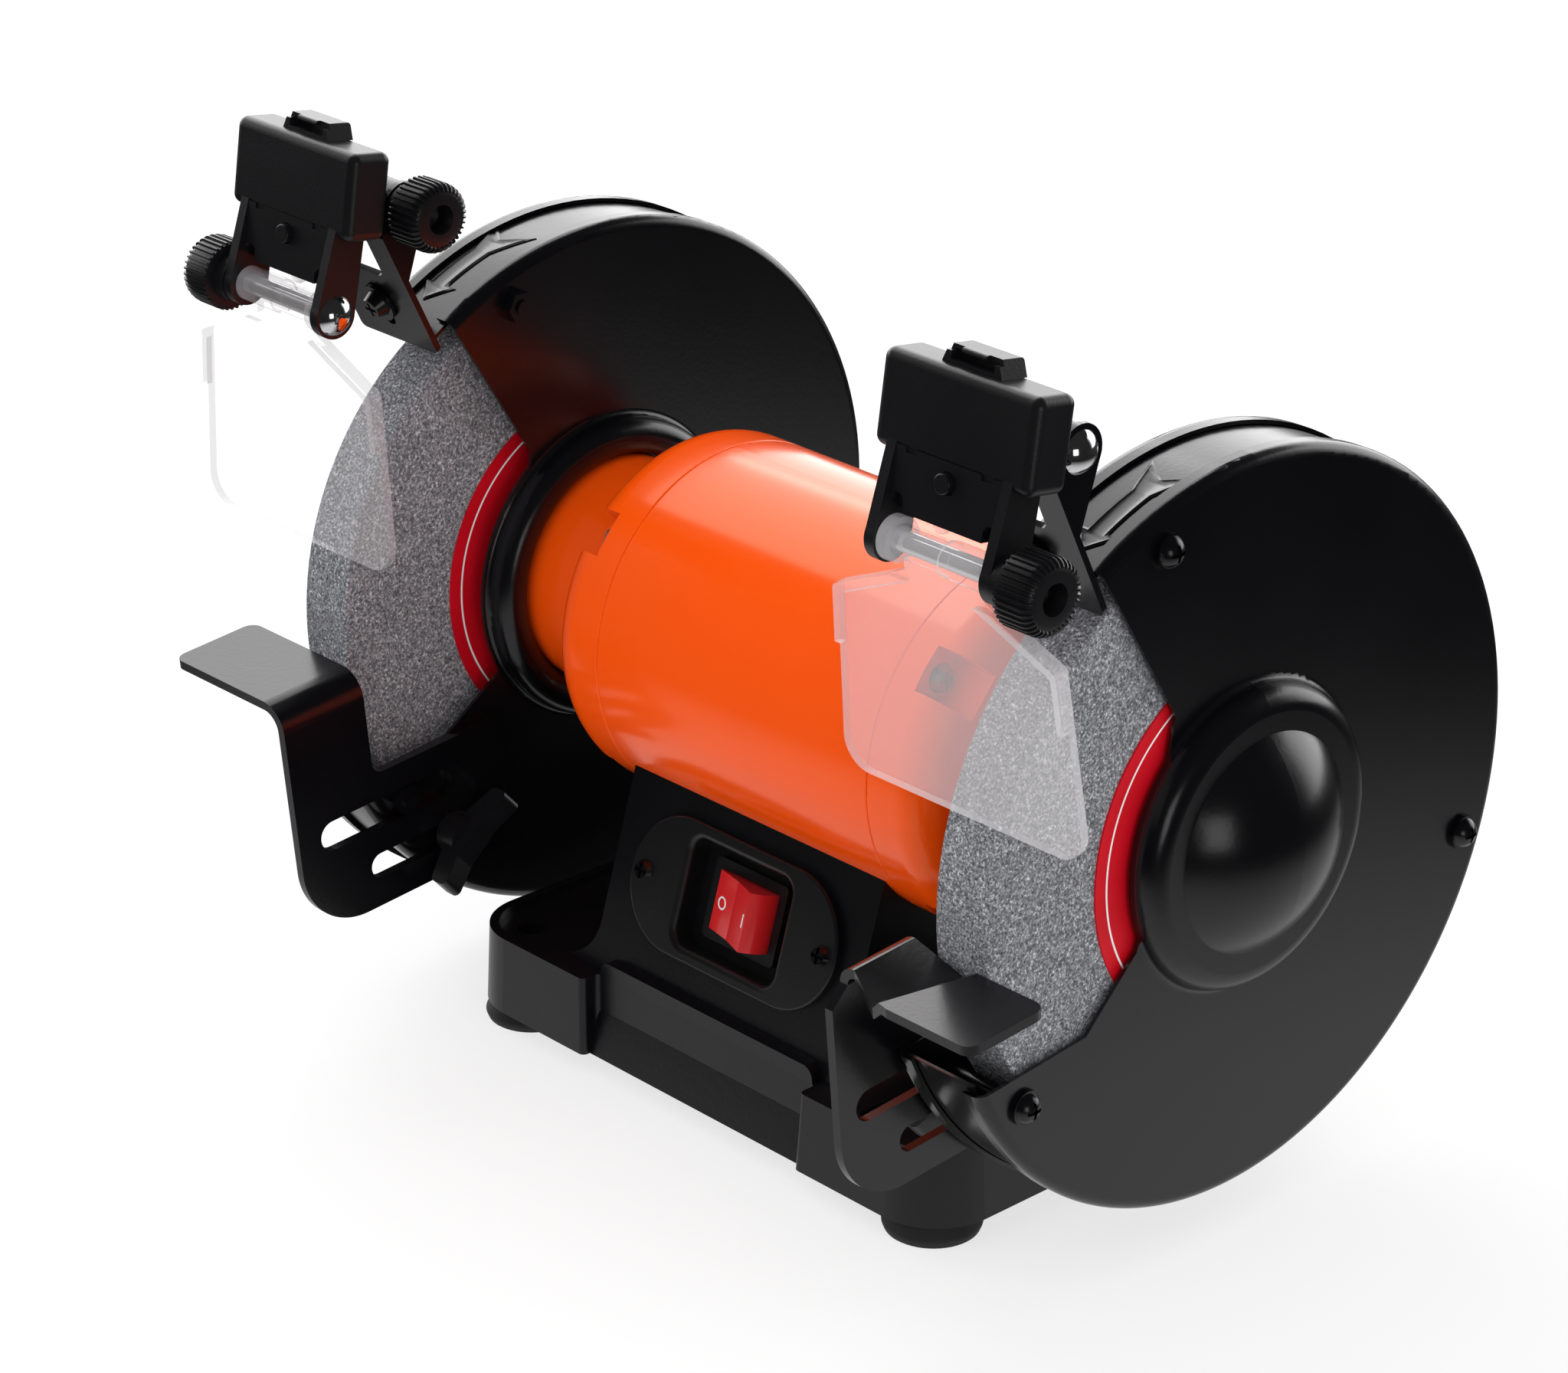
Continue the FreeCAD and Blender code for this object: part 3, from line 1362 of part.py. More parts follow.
def make_lamp_cover():
    """Back cover with the lug that turns between the bracket ears."""
    cover = lamp_block(0.0).cut(lamp_block(lamp_wall)).common(lamp_half(True))
    back, up = pivot_on_lamp()
    low = wheel_middle - lug_half_length
    high = wheel_middle + lug_half_length
    barrel = rod_x(lug_radius, low, high, back, up)
    web = box((low, lamp_back - lamp_wall, up - lug_web_half), (high, back, up + lug_web_half))
    cover = joined([cover, web, barrel])
    return on_lamp(cover.cut(rod_x(pivot_bolt_radius + turning_gap, low, high, back, up)))


def make_lamp_button():
    """Push button of the lamp."""
    stand = -lamp_front - button_stand
    end = skirt_back - button_floor - button_travel - touch_gap
    stem = rod_y(button_radius, stand, end, wheel_middle, button_height)
    rim = [edge for edge in stem.Edges if edge.BoundBox.YMax < stand + touch_gap]
    return on_lamp(stem.makeFillet(button_round, rim))


def make_lamp_led():
    """Domed light-emitting diode that looks down past the shield hinge."""
    x = wheel_middle + led_offset
    stem = rod_z(led_radius, skirt_low - led_proud, skirt_low + led_length, x, led_back)
    tip = Part.makeSphere(led_radius, V(x, led_back, skirt_low - led_proud))
    return on_lamp(joined([stem, tip]))


def make_lamp_cells():
    """Two dry cells side by side in the lamp."""
    cells = []
    middle = (lamp_low + lamp_high) / 2
    depth = (lamp_back - lamp_front) / 2
    half = cell_length / 2
    for side in (-1, 1):
        height = middle + side * (cell_radius + touch_gap)
        can = rod_x(cell_radius, wheel_middle - half, wheel_middle + half, depth, height)
        tip = rod_x(cell_radius / 3, wheel_middle + half, wheel_middle + half + cell_tip, depth, height)
        cells.append(on_lamp(joined([can, tip])))
    return Part.makeCompound(cells)


def make_shield_bolt():
    """Bolt of the shield hinge, headed on the inner ear and threaded into the outer knob."""
    inner = wheel_middle - skirt_half_length
    outer = wheel_middle + skirt_half_length + knob_hub_length + knob_length - knob_well_depth
    return carriage_bolt(inner, outer + bolt_proud, shield_hinge[0], shaft_height + shield_hinge[1])


def make_shield_knob():
    """Knob that clamps the shield hinge, on the outer side."""
    seat = wheel_middle + skirt_half_length + touch_gap
    return knurled_knob(seat, 1, shield_hinge[0], shaft_height + shield_hinge[1])


# Eye shields


def shield_corners(inset):
    """Outline of the clear plate below its axle, drawn in by the inset."""
    mid = wheel_middle
    neck = shield_neck_half - inset
    shoulder = shield_shoulder_half - inset
    bottom = shield_bottom_half - inset
    corner = shield_corner - inset
    neck_low = -shield_neck_low - inset
    shoulder_low = -shield_shoulder_low - inset
    low = -shield_bottom + inset
    return [(mid - neck, 0.0, 0), (mid - neck, neck_low, shield_neck_round),
            (mid - shoulder, shoulder_low, shield_shoulder_round), (mid - bottom, low, corner),
            (mid + bottom, low, corner), (mid + shoulder, shoulder_low, shield_shoulder_round),
            (mid + neck, neck_low, shield_neck_round), (mid + neck, 0.0, 0)]


def make_shield(tilt):
    """Clear plate moulded with its axle, stiffened by a rib along the shoulders."""
    half = shield_thickness / 2
    plate = plate_y(shield_corners(0.0), -half, half)
    ribbed = plate_y(shield_corners(0.0), -half - shield_rib, half)
    ribbed = ribbed.cut(plate_y(shield_corners(shield_rib_width), -half - shield_rib, half))
    reach = 2 * shield_bottom_half
    zone = box((wheel_middle - reach, -half - shield_rib, -shield_rib_end),
               (wheel_middle + reach, half, -shield_neck_low - shield_rib))
    low = lamp_ear_inner + touch_gap
    high = lamp_ear_outer - touch_gap
    pieces = [plate, ribbed.common(zone), rod_x(axle_radius, low, high, 0.0, 0.0),
              rod_x(axle_flange_radius, low, low + axle_flange_length, 0.0, 0.0),
              rod_x(axle_sleeve_radius, high - axle_sleeve_length, high, 0.0, 0.0)]
    shield = joined(pieces).cut(rod_x(pivot_bolt_radius + turning_gap, low, high, 0.0, 0.0))
    return tilted(shield, tilt, shield_hinge[0], shaft_height + shield_hinge[1])


def build():
    """Every piece of the grinder by name."""
    pieces = {
        "base_casting": make_base(),
        "bottom_plate": make_bottom_plate(),
        "rubber_feet": make_feet(),
        "motor_mount_bolts": make_mount_bolts(),
        "run_capacitor": make_capacitor(),
        "cord_gland": make_gland(),
        "switch_plate": make_switch_plate(),
        "switch_plate_screws": make_switch_screws(),
        "switch_body": make_switch_body(),
        "switch_rocker": make_rocker(),
        "motor_shell": make_motor_shell(),
        "through_bolts": make_through_bolts(),
        "stator_core": make_stator_core(),
        "stator_windings": make_stator_windings(),
        "bearing_outer_rings": both_sides([bearing_race(bearing_radius, bearing_radius - bearing_ring_wall)]),
        "bearing_inner_rings": both_sides([bearing_race(seat_radius + bearing_ring_wall, seat_radius)]),
        "bearing_balls": make_bearing_balls(),
        "rotor_shaft": make_rotor_shaft(),
        "rotor_core": make_rotor_core(),
        "wheel_labels": make_wheel_labels(),
        "wheel_flanges": make_wheel_flanges(),
        "spindle_nuts": make_spindle_nuts(),
        "guard_screws": make_guard_screws(),
        "guard_nuts": make_guard_nuts(),
        "left_tool_rest": mirrored(make_plain_rest()),
        "right_tool_rest": make_vee_rest(),
    }
    handed = {
        "end_bell": make_end_bell(),
        "inner_guard": make_inner_guard(),
        "guard_band": make_guard_band(),
        "outer_cover": make_outer_cover(),
        "wheel": make_wheel(),
        "rest_knob": make_rest_knob(),
        "spark_arrestor": make_spark_arrestor(),
        "lamp_bolt": make_lamp_bolt(),
        "lamp_knob": make_lamp_knob(),
        "lamp_housing": make_lamp_housing(),
        "lamp_cover": make_lamp_cover(),
        "lamp_button": make_lamp_button(),
        "lamp_led": make_lamp_led(),
        "lamp_cells": make_lamp_cells(),
        "shield_bolt": make_shield_bolt(),
        "shield_knob": make_shield_knob(),
    }
    for name, shape in handed.items():
        pieces["right_" + name] = shape
        pieces["left_" + name] = mirrored(shape)
    pieces["right_shield"] = make_shield(shield_tilts["right"])
    pieces["left_shield"] = mirrored(make_shield(shield_tilts["left"]))
    return pieces


os.makedirs("parts", exist_ok=True)
for node, shape in build().items():
    shape.exportStep("parts/" + node + ".step")
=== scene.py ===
import json
import math

import bpy
from mathutils import Matrix, Vector


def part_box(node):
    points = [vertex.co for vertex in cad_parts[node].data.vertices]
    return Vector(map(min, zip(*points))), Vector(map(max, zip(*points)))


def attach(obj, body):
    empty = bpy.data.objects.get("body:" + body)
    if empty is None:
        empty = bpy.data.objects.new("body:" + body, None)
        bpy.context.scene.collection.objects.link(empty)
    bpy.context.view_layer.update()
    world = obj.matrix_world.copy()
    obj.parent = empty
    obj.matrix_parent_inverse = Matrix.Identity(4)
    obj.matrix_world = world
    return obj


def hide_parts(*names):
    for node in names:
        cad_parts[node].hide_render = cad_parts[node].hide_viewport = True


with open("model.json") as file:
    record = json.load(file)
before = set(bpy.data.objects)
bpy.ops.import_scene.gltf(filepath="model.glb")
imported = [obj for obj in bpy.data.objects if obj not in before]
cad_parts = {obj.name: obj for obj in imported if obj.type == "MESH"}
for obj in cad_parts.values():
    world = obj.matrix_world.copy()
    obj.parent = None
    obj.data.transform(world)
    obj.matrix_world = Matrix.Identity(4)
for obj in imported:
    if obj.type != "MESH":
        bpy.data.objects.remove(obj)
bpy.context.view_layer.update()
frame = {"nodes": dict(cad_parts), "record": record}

# Places on the grinder, in metres
SHAFT_HEIGHT = 0.131
WHEEL_MIDDLE = 0.1416
WHEEL_RADIUS = 0.1
WHEEL_WIDTH = 0.02
LABEL_RING = 0.0535
LABEL_RING_HALF = 0.00033
BAND_RADIUS = 0.1135
SHELL_RADIUS = 0.0579

# Knurled knobs, in metres
KNOB_RADIUS = 0.011
KNOB_LENGTH = 0.0122
KNOB_HUB_RADIUS = 0.0075
KNOB_HUB_LENGTH = 0.0048
KNOB_RIBS = 36
KNOB_RIB_HEIGHT = 0.0007
KNOB_RIB_EDGE = 0.00021
KNOB_RIB_START = 0.0062
KNOB_SHOULDER = 0.003
KNOB_WELL_RADIUS = 0.0046
KNOB_WELL_DEPTH = 0.007

# Switch on the slanted panel, in metres and degrees
PANEL_SLANT = 17.0
SWITCH_Z = 0.068
PEDESTAL_TOP_HALF = 0.046
SADDLE_Z = SHAFT_HEIGHT - math.sqrt(SHELL_RADIUS ** 2 - PEDESTAL_TOP_HALF ** 2)
SWITCH_Y = -PEDESTAL_TOP_HALF - (SADDLE_Z - SWITCH_Z) * math.tan(math.radians(PANEL_SLANT))
ROCKER_PIVOT = -0.0023
ROCKER_TILT = 21.4
ROCKER_WAIST = 0.0033
ROCKER_RISE = 0.0044
ROCKER_SLOPE_LENGTH = 0.0146

# White marks on the rocker key, in metres
MARK_COLOURS = ((0.80, 0.80, 0.79), (0.86, 0.86, 0.85))
MARK_O_RADIUS = 0.0018
MARK_O_LINE = 0.0003
MARK_O_STRETCH = (1.2, 1.0, 0.5)
MARK_O_PLACE = 0.0072
MARK_I_SIZE = (0.00065, 0.0043, 0.0003)
MARK_I_EDGE = 0.0001
MARK_I_PLACE = 0.0102

# Turning arrows on the guard bands: (along, across) corners and heights, in metres
ARROW_START = math.radians(121.0)
ARROW_CORNERS = [(0.002, 0.0), (0.010, -0.0075), (0.010, -0.0038), (0.028, -0.0038), (0.043, -0.0095),
                 (0.036, 0.0), (0.043, 0.0095), (0.028, 0.0038), (0.010, 0.0038), (0.010, 0.0075)]
ARROW_SINK = 0.0006
ARROW_HEIGHT = 0.0009
ARROW_BORDER = 0.0008
ARROW_DISH = 0.0003
ARROW_FIRST_CUT = 0.0035
ARROW_CUT_STEP = 0.002
ARROW_CUTS = 21

# Clear shields: how far a face's painted whitish sheen is seen, how strongly the painted edge glint shows,
# and from which turn on a surface counts as an edge or a face
CLEAR_LEFT_SHEEN_ALPHA = 0.09
CLEAR_RIGHT_SHEEN_ALPHA = 0.21
CLEAR_GLINT_ALPHA = 0.34
CLEAR_EDGE_TURN = 0.35
CLEAR_FACE_TURN = 0.95
# Whitish colour on the faces: a painted sheen
CLEAR_FACE_PAINTED_SHEEN = (0.82, 0.80, 0.81, 1.0)
# Painted glint on the shield edges, dimmer on the left shield than on the right
CLEAR_LEFT_PAINTED_GLINT = (0.42, 0.40, 0.43)
CLEAR_RIGHT_PAINTED_GLINT = (0.80, 0.78, 0.80)

# Abrasive grains: sizes as shader scales, and shades from dark to bright
GRAIN_SCALE = 1500.0
SPECK_SCALE = 1250.0
GRAIN_SHADES = [(0.32, (0.03, 0.03, 0.035)), (0.45, (0.155, 0.157, 0.173)),
                (0.55, (0.288, 0.291, 0.313)), (0.68, (0.78, 0.785, 0.82))]

# Rough skin on the wheel rims
GRIT_STEPS_ROUND = 1100
GRIT_STEPS_ACROSS = 36
GRIT_HEIGHT = 0.0008
GRIT_EDGE = 0.0008
GRIT_GRAIN = 0.0011
GRIT_LEVEL = 0.62

# Studio light
BACKDROP_DIRECTION = (-0.68, 0.73, 0.0)
BACKDROP_LIGHT = 3.2
BACKDROP_FULL = 0.47
BACKDROP_END = 0.56
BACKDROP_SIDE_START = 0.1
BACKDROP_SIDE_FULL = 0.5
BACKDROP_SEEN = (0.98, 0.98, 0.985, 1.0)
FRONT_LIGHT = 0.015
FILL_LIGHT = 1.0
FLOOR_SIZE = 12.0
FLOOR_PALE = 0.93
FLOOR_SEEN = 0.28
FLOOR_MIRRORED = 0.01
FLOOR_LIFT = 0.72
FLOOR_MIRROR = 0.68
FLOOR_BRIGHT_RADIUS = 0.22
FLOOR_DARK_RADIUS = 0.58
LIGHT_AIM = (0.0, 0.0, 0.14)
TOP_SOFTBOX = {"place": (-0.95, 0.35, 1.25), "width": 1.3, "height": 1.0, "power": 11.0}
RIGHT_SOFTBOX = {"place": (1.7, -0.75, 0.35), "width": 0.6, "height": 0.7, "power": 2.5}

# Camera that took the photograph
CAMERA_PLACE = Vector((0.94834, -0.91210, 0.70573))
CAMERA_AZIMUTH = math.radians(47.229)
CAMERA_ELEVATION = math.radians(23.752)
CAMERA_FOCAL_PIXELS = 6108.24
PHOTO_WIDTH = 2047
SENSOR_WIDTH = 36.0


def deselect():
    """Leave nothing selected."""
    for thing in bpy.context.selected_objects:
        thing.select_set(False)


def only(thing):
    """Make one object the selected and active one."""
    deselect()
    thing.select_set(True)
    bpy.context.view_layer.objects.active = thing


def settle(thing):
    """Put an object's place, turn and size into its mesh."""
    only(thing)
    bpy.ops.object.transform_apply(location=True, rotation=True, scale=True)


def finish_piece(thing, name, body, material):
    """Name a new piece, give it its finish and let it move with its body."""
    thing.name = name
    thing.data.materials.clear()
    thing.data.materials.append(material)
    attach(thing, body)
    return thing


# Shader groups


def new_group(name, inputs, outputs):
    """Empty shader group with the given value inputs and named outputs."""
    group = bpy.data.node_groups.new(name, "ShaderNodeTree")
    for label, default in inputs:
        socket = group.interface.new_socket(name=label, in_out="INPUT",
                                            socket_type="NodeSocketFloat")
        socket.default_value = default
    for label, kind in outputs:
        group.interface.new_socket(name=label, in_out="OUTPUT", socket_type=kind)
    start = group.nodes.new("NodeGroupInput")
    end = group.nodes.new("NodeGroupOutput")
    return group, start, end


def paint_skin_group():
    """Orange-peel height and slow gloss change of a sprayed or powder-coated skin."""
    group, start, end = new_group("paint_skin", [("Peel Scale", 900.0), ("Cloud Scale", 18.0)],
                                  [("Height", "NodeSocketFloat"), ("Cloud", "NodeSocketFloat")])
    place = group.nodes.new("ShaderNodeTexCoord")
    peel = group.nodes.new("ShaderNodeTexNoise")
    peel.inputs["Detail"].default_value = 1.0
    cloud = group.nodes.new("ShaderNodeTexNoise")
    cloud.inputs["Detail"].default_value = 3.0
    links = group.links
    links.new(place.outputs["Object"], peel.inputs["Vector"])
    links.new(place.outputs["Object"], cloud.inputs["Vector"])
    links.new(start.outputs["Peel Scale"], peel.inputs["Scale"])
    links.new(start.outputs["Cloud Scale"], cloud.inputs["Scale"])
    links.new(peel.outputs["Fac"], end.inputs["Height"])
    links.new(cloud.outputs["Fac"], end.inputs["Cloud"])
    return group


def shaft_distance_group():
    """Distance of a surface point from the shaft."""
    group, start, end = new_group("shaft_distance", [("Shaft Height", SHAFT_HEIGHT)],
                                  [("Distance", "NodeSocketFloat")])
    place = group.nodes.new("ShaderNodeTexCoord")
    split = group.nodes.new("ShaderNodeSeparateXYZ")
    lower = group.nodes.new("ShaderNodeMath")
    lower.operation = "SUBTRACT"
    join = group.nodes.new("ShaderNodeCombineXYZ")
    length = group.nodes.new("ShaderNodeVectorMath")
    length.operation = "LENGTH"
    links = group.links
    links.new(place.outputs["Object"], split.inputs["Vector"])
    links.new(split.outputs["Z"], lower.inputs[0])
    links.new(start.outputs["Shaft Height"], lower.inputs[1])
    links.new(split.outputs["Y"], join.inputs["Y"])
    links.new(lower.outputs[0], join.inputs["Z"])
    links.new(join.outputs["Vector"], length.inputs[0])
    links.new(length.outputs["Value"], end.inputs["Distance"])
    return group


PAINT_SKIN = paint_skin_group()
SHAFT_DISTANCE = shaft_distance_group()


# Materials


def new_material(name):
    """Material with an empty Principled shader."""
    material = bpy.data.materials.new(name)
    material.use_nodes = True
    tree = material.node_tree
    shader = tree.nodes["Principled BSDF"]
    return material, tree, shader


def place_group(tree, group, **values):
    """A shader group in a material, with its own values."""
    node = tree.nodes.new("ShaderNodeGroup")
    node.node_tree = group
    for label, value in values.items():
        node.inputs[label.replace("_", " ")].default_value = value
    return node


def ramp_between(tree, factor, stops):
    """Colour ramp over a factor, with (position, colour) stops."""
    ramp = tree.nodes.new("ShaderNodeValToRGB")
    ramp.color_ramp.elements[0].position = stops[0][0]
    ramp.color_ramp.elements[0].color = (*stops[0][1], 1.0)
    ramp.color_ramp.elements[1].position = stops[-1][0]
    ramp.color_ramp.elements[1].color = (*stops[-1][1], 1.0)
    for position, colour in stops[1:-1]:
        element = ramp.color_ramp.elements.new(position)
        element.color = (*colour, 1.0)
    tree.links.new(factor, ramp.inputs["Fac"])
    return ramp.outputs["Color"]


def value_range(tree, factor, low, high):
    """Factor from 0 to 1 turned into a value between low and high."""
    node = tree.nodes.new("ShaderNodeMapRange")
    node.inputs["To Min"].default_value = low
    node.inputs["To Max"].default_value = high
    tree.links.new(factor, node.inputs["Value"])
    return node.outputs["Result"]


def bump(tree, shader, height, strength, distance):
    """Surface relief from a height."""
    node = tree.nodes.new("ShaderNodeBump")
    node.inputs["Strength"].default_value = strength
    node.inputs["Distance"].default_value = distance
    tree.links.new(height, node.inputs["Height"])
    tree.links.new(node.outputs["Normal"], shader.inputs["Normal"])


def skin_material(name, dark, light, rough_low, rough_high, peel_scale, peel_strength, **settings):
    """Painted or moulded surface: two near shades, a cloudy gloss and a fine peel."""
    material, tree, shader = new_material(name)
    skin = place_group(tree, PAINT_SKIN, Peel_Scale=peel_scale)
    colour = ramp_between(tree, skin.outputs["Cloud"], [(0.3, dark), (0.7, light)])
    tree.links.new(colour, shader.inputs["Base Color"])
    rough = value_range(tree, skin.outputs["Cloud"], rough_low, rough_high)
    tree.links.new(rough, shader.inputs["Roughness"])
    bump(tree, shader, skin.outputs["Height"], peel_strength, 0.0004)
    for label, value in settings.items():
        shader.inputs[label.replace("_", " ")].default_value = value
    return material


def abrasive_material():
    """Grey bonded grit with dark and bright grains."""
    material, tree, shader = new_material("abrasive_grit")
    place = tree.nodes.new("ShaderNodeTexCoord")
    grain = tree.nodes.new("ShaderNodeTexVoronoi")
    grain.inputs["Scale"].default_value = GRAIN_SCALE
    speck = tree.nodes.new("ShaderNodeTexNoise")
    speck.inputs["Scale"].default_value = SPECK_SCALE
    speck.inputs["Detail"].default_value = 4.0
    speck.inputs["Roughness"].default_value = 0.75
    for node in (grain, speck):
        tree.links.new(place.outputs["Object"], node.inputs["Vector"])
    shades = ramp_between(tree, speck.outputs["Fac"], GRAIN_SHADES)
    split = tree.nodes.new("ShaderNodeSeparateColor")
    tree.links.new(grain.outputs["Color"], split.inputs["Color"])
    tone = value_range(tree, split.outputs["Red"], 0.62, 1.3)
    mix = tree.nodes.new("ShaderNodeVectorMath")
    mix.operation = "SCALE"
    tree.links.new(shades, mix.inputs[0])
    tree.links.new(tone, mix.inputs["Scale"])
    tree.links.new(mix.outputs["Vector"], shader.inputs["Base Color"])
    shader.inputs["Roughness"].default_value = 0.88
    shader.inputs["Specular IOR Level"].default_value = 0.35
    bump(tree, shader, speck.outputs["Fac"], 0.6, 0.0009)
    return material


def label_material():
    """Red printed paper with a thin white ring."""
    material, tree, shader = new_material("label_print")
    away = place_group(tree, SHAFT_DISTANCE)
    ring = tree.nodes.new("ShaderNodeMath")
    ring.operation = "COMPARE"
    ring.inputs[1].default_value = LABEL_RING
    ring.inputs[2].default_value = LABEL_RING_HALF
    tree.links.new(away.outputs["Distance"], ring.inputs[0])
    fibre = place_group(tree, PAINT_SKIN, Peel_Scale=1400.0, Cloud_Scale=60.0)
    red = ramp_between(tree, fibre.outputs["Cloud"],
                       [(0.3, (0.53, 0.002, 0.010)), (0.7, (0.60, 0.003, 0.013))])
    mix = tree.nodes.new("ShaderNodeMix")
    mix.data_type = "RGBA"
    mix.inputs["B"].default_value = (0.85, 0.83, 0.82, 1.0)
    tree.links.new(ring.outputs[0], mix.inputs["Factor"])
    tree.links.new(red, mix.inputs["A"])
    tree.links.new(mix.outputs["Result"], shader.inputs["Base Color"])
    shader.inputs["Roughness"].default_value = 0.5
    shader.inputs["Specular IOR Level"].default_value = 0.2
    bump(tree, shader, fibre.outputs["Height"], 0.05, 0.0002)
    return material


def metal_material(name, dark, light, rough_low, rough_high, cloud_scale):
    """Bare metal with a slightly uneven gloss."""
    material, tree, shader = new_material(name)
    skin = place_group(tree, PAINT_SKIN, Peel_Scale=1600.0, Cloud_Scale=cloud_scale)
    colour = ramp_between(tree, skin.outputs["Cloud"], [(0.3, dark), (0.7, light)])
    tree.links.new(colour, shader.inputs["Base Color"])
    rough = value_range(tree, skin.outputs["Cloud"], rough_low, rough_high)
    tree.links.new(rough, shader.inputs["Roughness"])
    shader.inputs["Metallic"].default_value = 1.0
    return material


def clear_material():
    """Clear polycarbonate: a thin whitish veil of painted sheen on its faces and a stronger painted glint
    on its edges, dimmer on the left shield than on the right.
    """
    material, tree, shader = new_material("clear_polycarbonate")
    skin = place_group(tree, PAINT_SKIN, Peel_Scale=300.0, Cloud_Scale=30.0)
    tree.links.new(value_range(tree, skin.outputs["Cloud"], 0.03, 0.07), shader.inputs["Roughness"])
    place = tree.nodes.new("ShaderNodeTexCoord")
    facing = tree.nodes.new("ShaderNodeVectorMath")
    facing.operation = "DOT_PRODUCT"
    facing.inputs[1].default_value = (0.0, 1.0, 0.0)
    tree.links.new(place.outputs["Normal"], facing.inputs[0])
    flat = tree.nodes.new("ShaderNodeMath")
    flat.operation = "ABSOLUTE"
    tree.links.new(facing.outputs["Value"], flat.inputs[0])
    face = tree.nodes.new("ShaderNodeMapRange")
    face.inputs["From Min"].default_value = CLEAR_EDGE_TURN
    face.inputs["From Max"].default_value = CLEAR_FACE_TURN
    tree.links.new(flat.outputs[0], face.inputs["Value"])
    split = tree.nodes.new("ShaderNodeSeparateXYZ")
    tree.links.new(place.outputs["Object"], split.inputs["Vector"])
    across = tree.nodes.new("ShaderNodeMapRange")
    across.inputs["From Min"].default_value = -WHEEL_MIDDLE
    across.inputs["From Max"].default_value = WHEEL_MIDDLE
    tree.links.new(split.outputs["X"], across.inputs["Value"])
    # Painted glint on the edges, dimmer on the left shield than on the right
    rim = ramp_between(tree, across.outputs["Result"],
                       [(0.0, CLEAR_LEFT_PAINTED_GLINT), (1.0, CLEAR_RIGHT_PAINTED_GLINT)])
    colour = tree.nodes.new("ShaderNodeMix")
    colour.data_type = "RGBA"
    colour.inputs["B"].default_value = CLEAR_FACE_PAINTED_SHEEN
    tree.links.new(face.outputs["Result"], colour.inputs["Factor"])
    tree.links.new(rim, colour.inputs["A"])
    tree.links.new(colour.outputs["Result"], shader.inputs["Base Color"])
    # Painted sheen on the faces, fainter on the left shield than on the right
    painted_sheen_veil = value_range(tree, across.outputs["Result"], CLEAR_LEFT_SHEEN_ALPHA, CLEAR_RIGHT_SHEEN_ALPHA)
    alpha = tree.nodes.new("ShaderNodeMapRange")
    alpha.inputs["To Min"].default_value = CLEAR_GLINT_ALPHA
    tree.links.new(painted_sheen_veil, alpha.inputs["To Max"])
    tree.links.new(face.outputs["Result"], alpha.inputs["Value"])
    tree.links.new(alpha.outputs["Result"], shader.inputs["Alpha"])
    return material


def build_materials():
    """Every finish of the grinder by its slot."""
    return {
        "orange_paint": skin_material(
            "orange_paint", (0.93, 0.084, 0.0025), (0.97, 0.090, 0.003), 0.14, 0.2, 420.0, 0.03,
            Coat_Weight=0.1, Coat_Roughness=0.06, Specular_Tint=(1.0, 0.74, 0.42, 1.0)),
        "black_paint": skin_material(
            "black_paint", (0.0016, 0.0016, 0.0024), (0.0026, 0.0026, 0.0036), 0.2, 0.26, 700.0, 0.05,
            Specular_IOR_Level=0.5),
        "black_cast": skin_material(
            "black_cast_paint", (0.002, 0.002, 0.0032), (0.003, 0.003, 0.0044), 0.28, 0.36, 620.0, 0.08,
            Specular_IOR_Level=0.38),
        "black_plastic": skin_material(
            "black_moulding", (0.004, 0.004, 0.0052), (0.006, 0.006, 0.0074), 0.3, 0.4, 1500.0, 0.1,
            Specular_IOR_Level=0.45),
        "rubber": skin_material(
            "foot_rubber", (0.009, 0.009, 0.009), (0.014, 0.014, 0.014), 0.65, 0.8, 1100.0, 0.15),
        "rocker_red": skin_material(
            "rocker_red", (0.60, 0.012, 0.014), (0.66, 0.016, 0.018), 0.2, 0.28, 500.0, 0.02,
            Coat_Weight=0.4, Coat_Roughness=0.08),
        "cell_wrap": skin_material(
            "cell_wrap", (0.02, 0.03, 0.10), (0.03, 0.045, 0.14), 0.25, 0.35, 600.0, 0.03),
        "steel": metal_material(
            "bare_steel", (0.42, 0.42, 0.43), (0.55, 0.55, 0.56), 0.28, 0.42, 80.0),
        "chrome": metal_material(
            "bright_plate", (0.72, 0.72, 0.74), (0.80, 0.80, 0.82), 0.06, 0.12, 60.0),
        "aluminium": metal_material(
            "drawn_can", (0.60, 0.60, 0.62), (0.70, 0.70, 0.72), 0.3, 0.4, 70.0),
        "copper": metal_material(
            "winding_wire", (0.42, 0.16, 0.06), (0.62, 0.27, 0.12), 0.3, 0.45, 240.0),
        "abrasive": abrasive_material(),
        "label_red": label_material(),
        "clear": clear_material(),
    }


FINISHES = build_materials()


def dress_nodes():
    """Give every CAD node the finish of its slot."""
    for row in frame["record"]["subparts"]:
        node = frame["nodes"][row["node"]]
        node.data.materials.clear()
        node.data.materials.append(FINISHES[row["material_slot"]])


# Knurled knobs


def select_faces(thing, wanted):
    """Select the faces for which wanted(centre, normal) holds, in edit mode."""
    bpy.ops.object.mode_set(mode="OBJECT")
    for part in (thing.data.vertices, thing.data.edges, thing.data.polygons):
        part.foreach_set("select", [False] * len(part))
    for face in thing.data.polygons:
        face.select = wanted(face.center, face.normal)
    bpy.ops.object.mode_set(mode="EDIT")
    bpy.ops.mesh.select_mode(type="FACE")


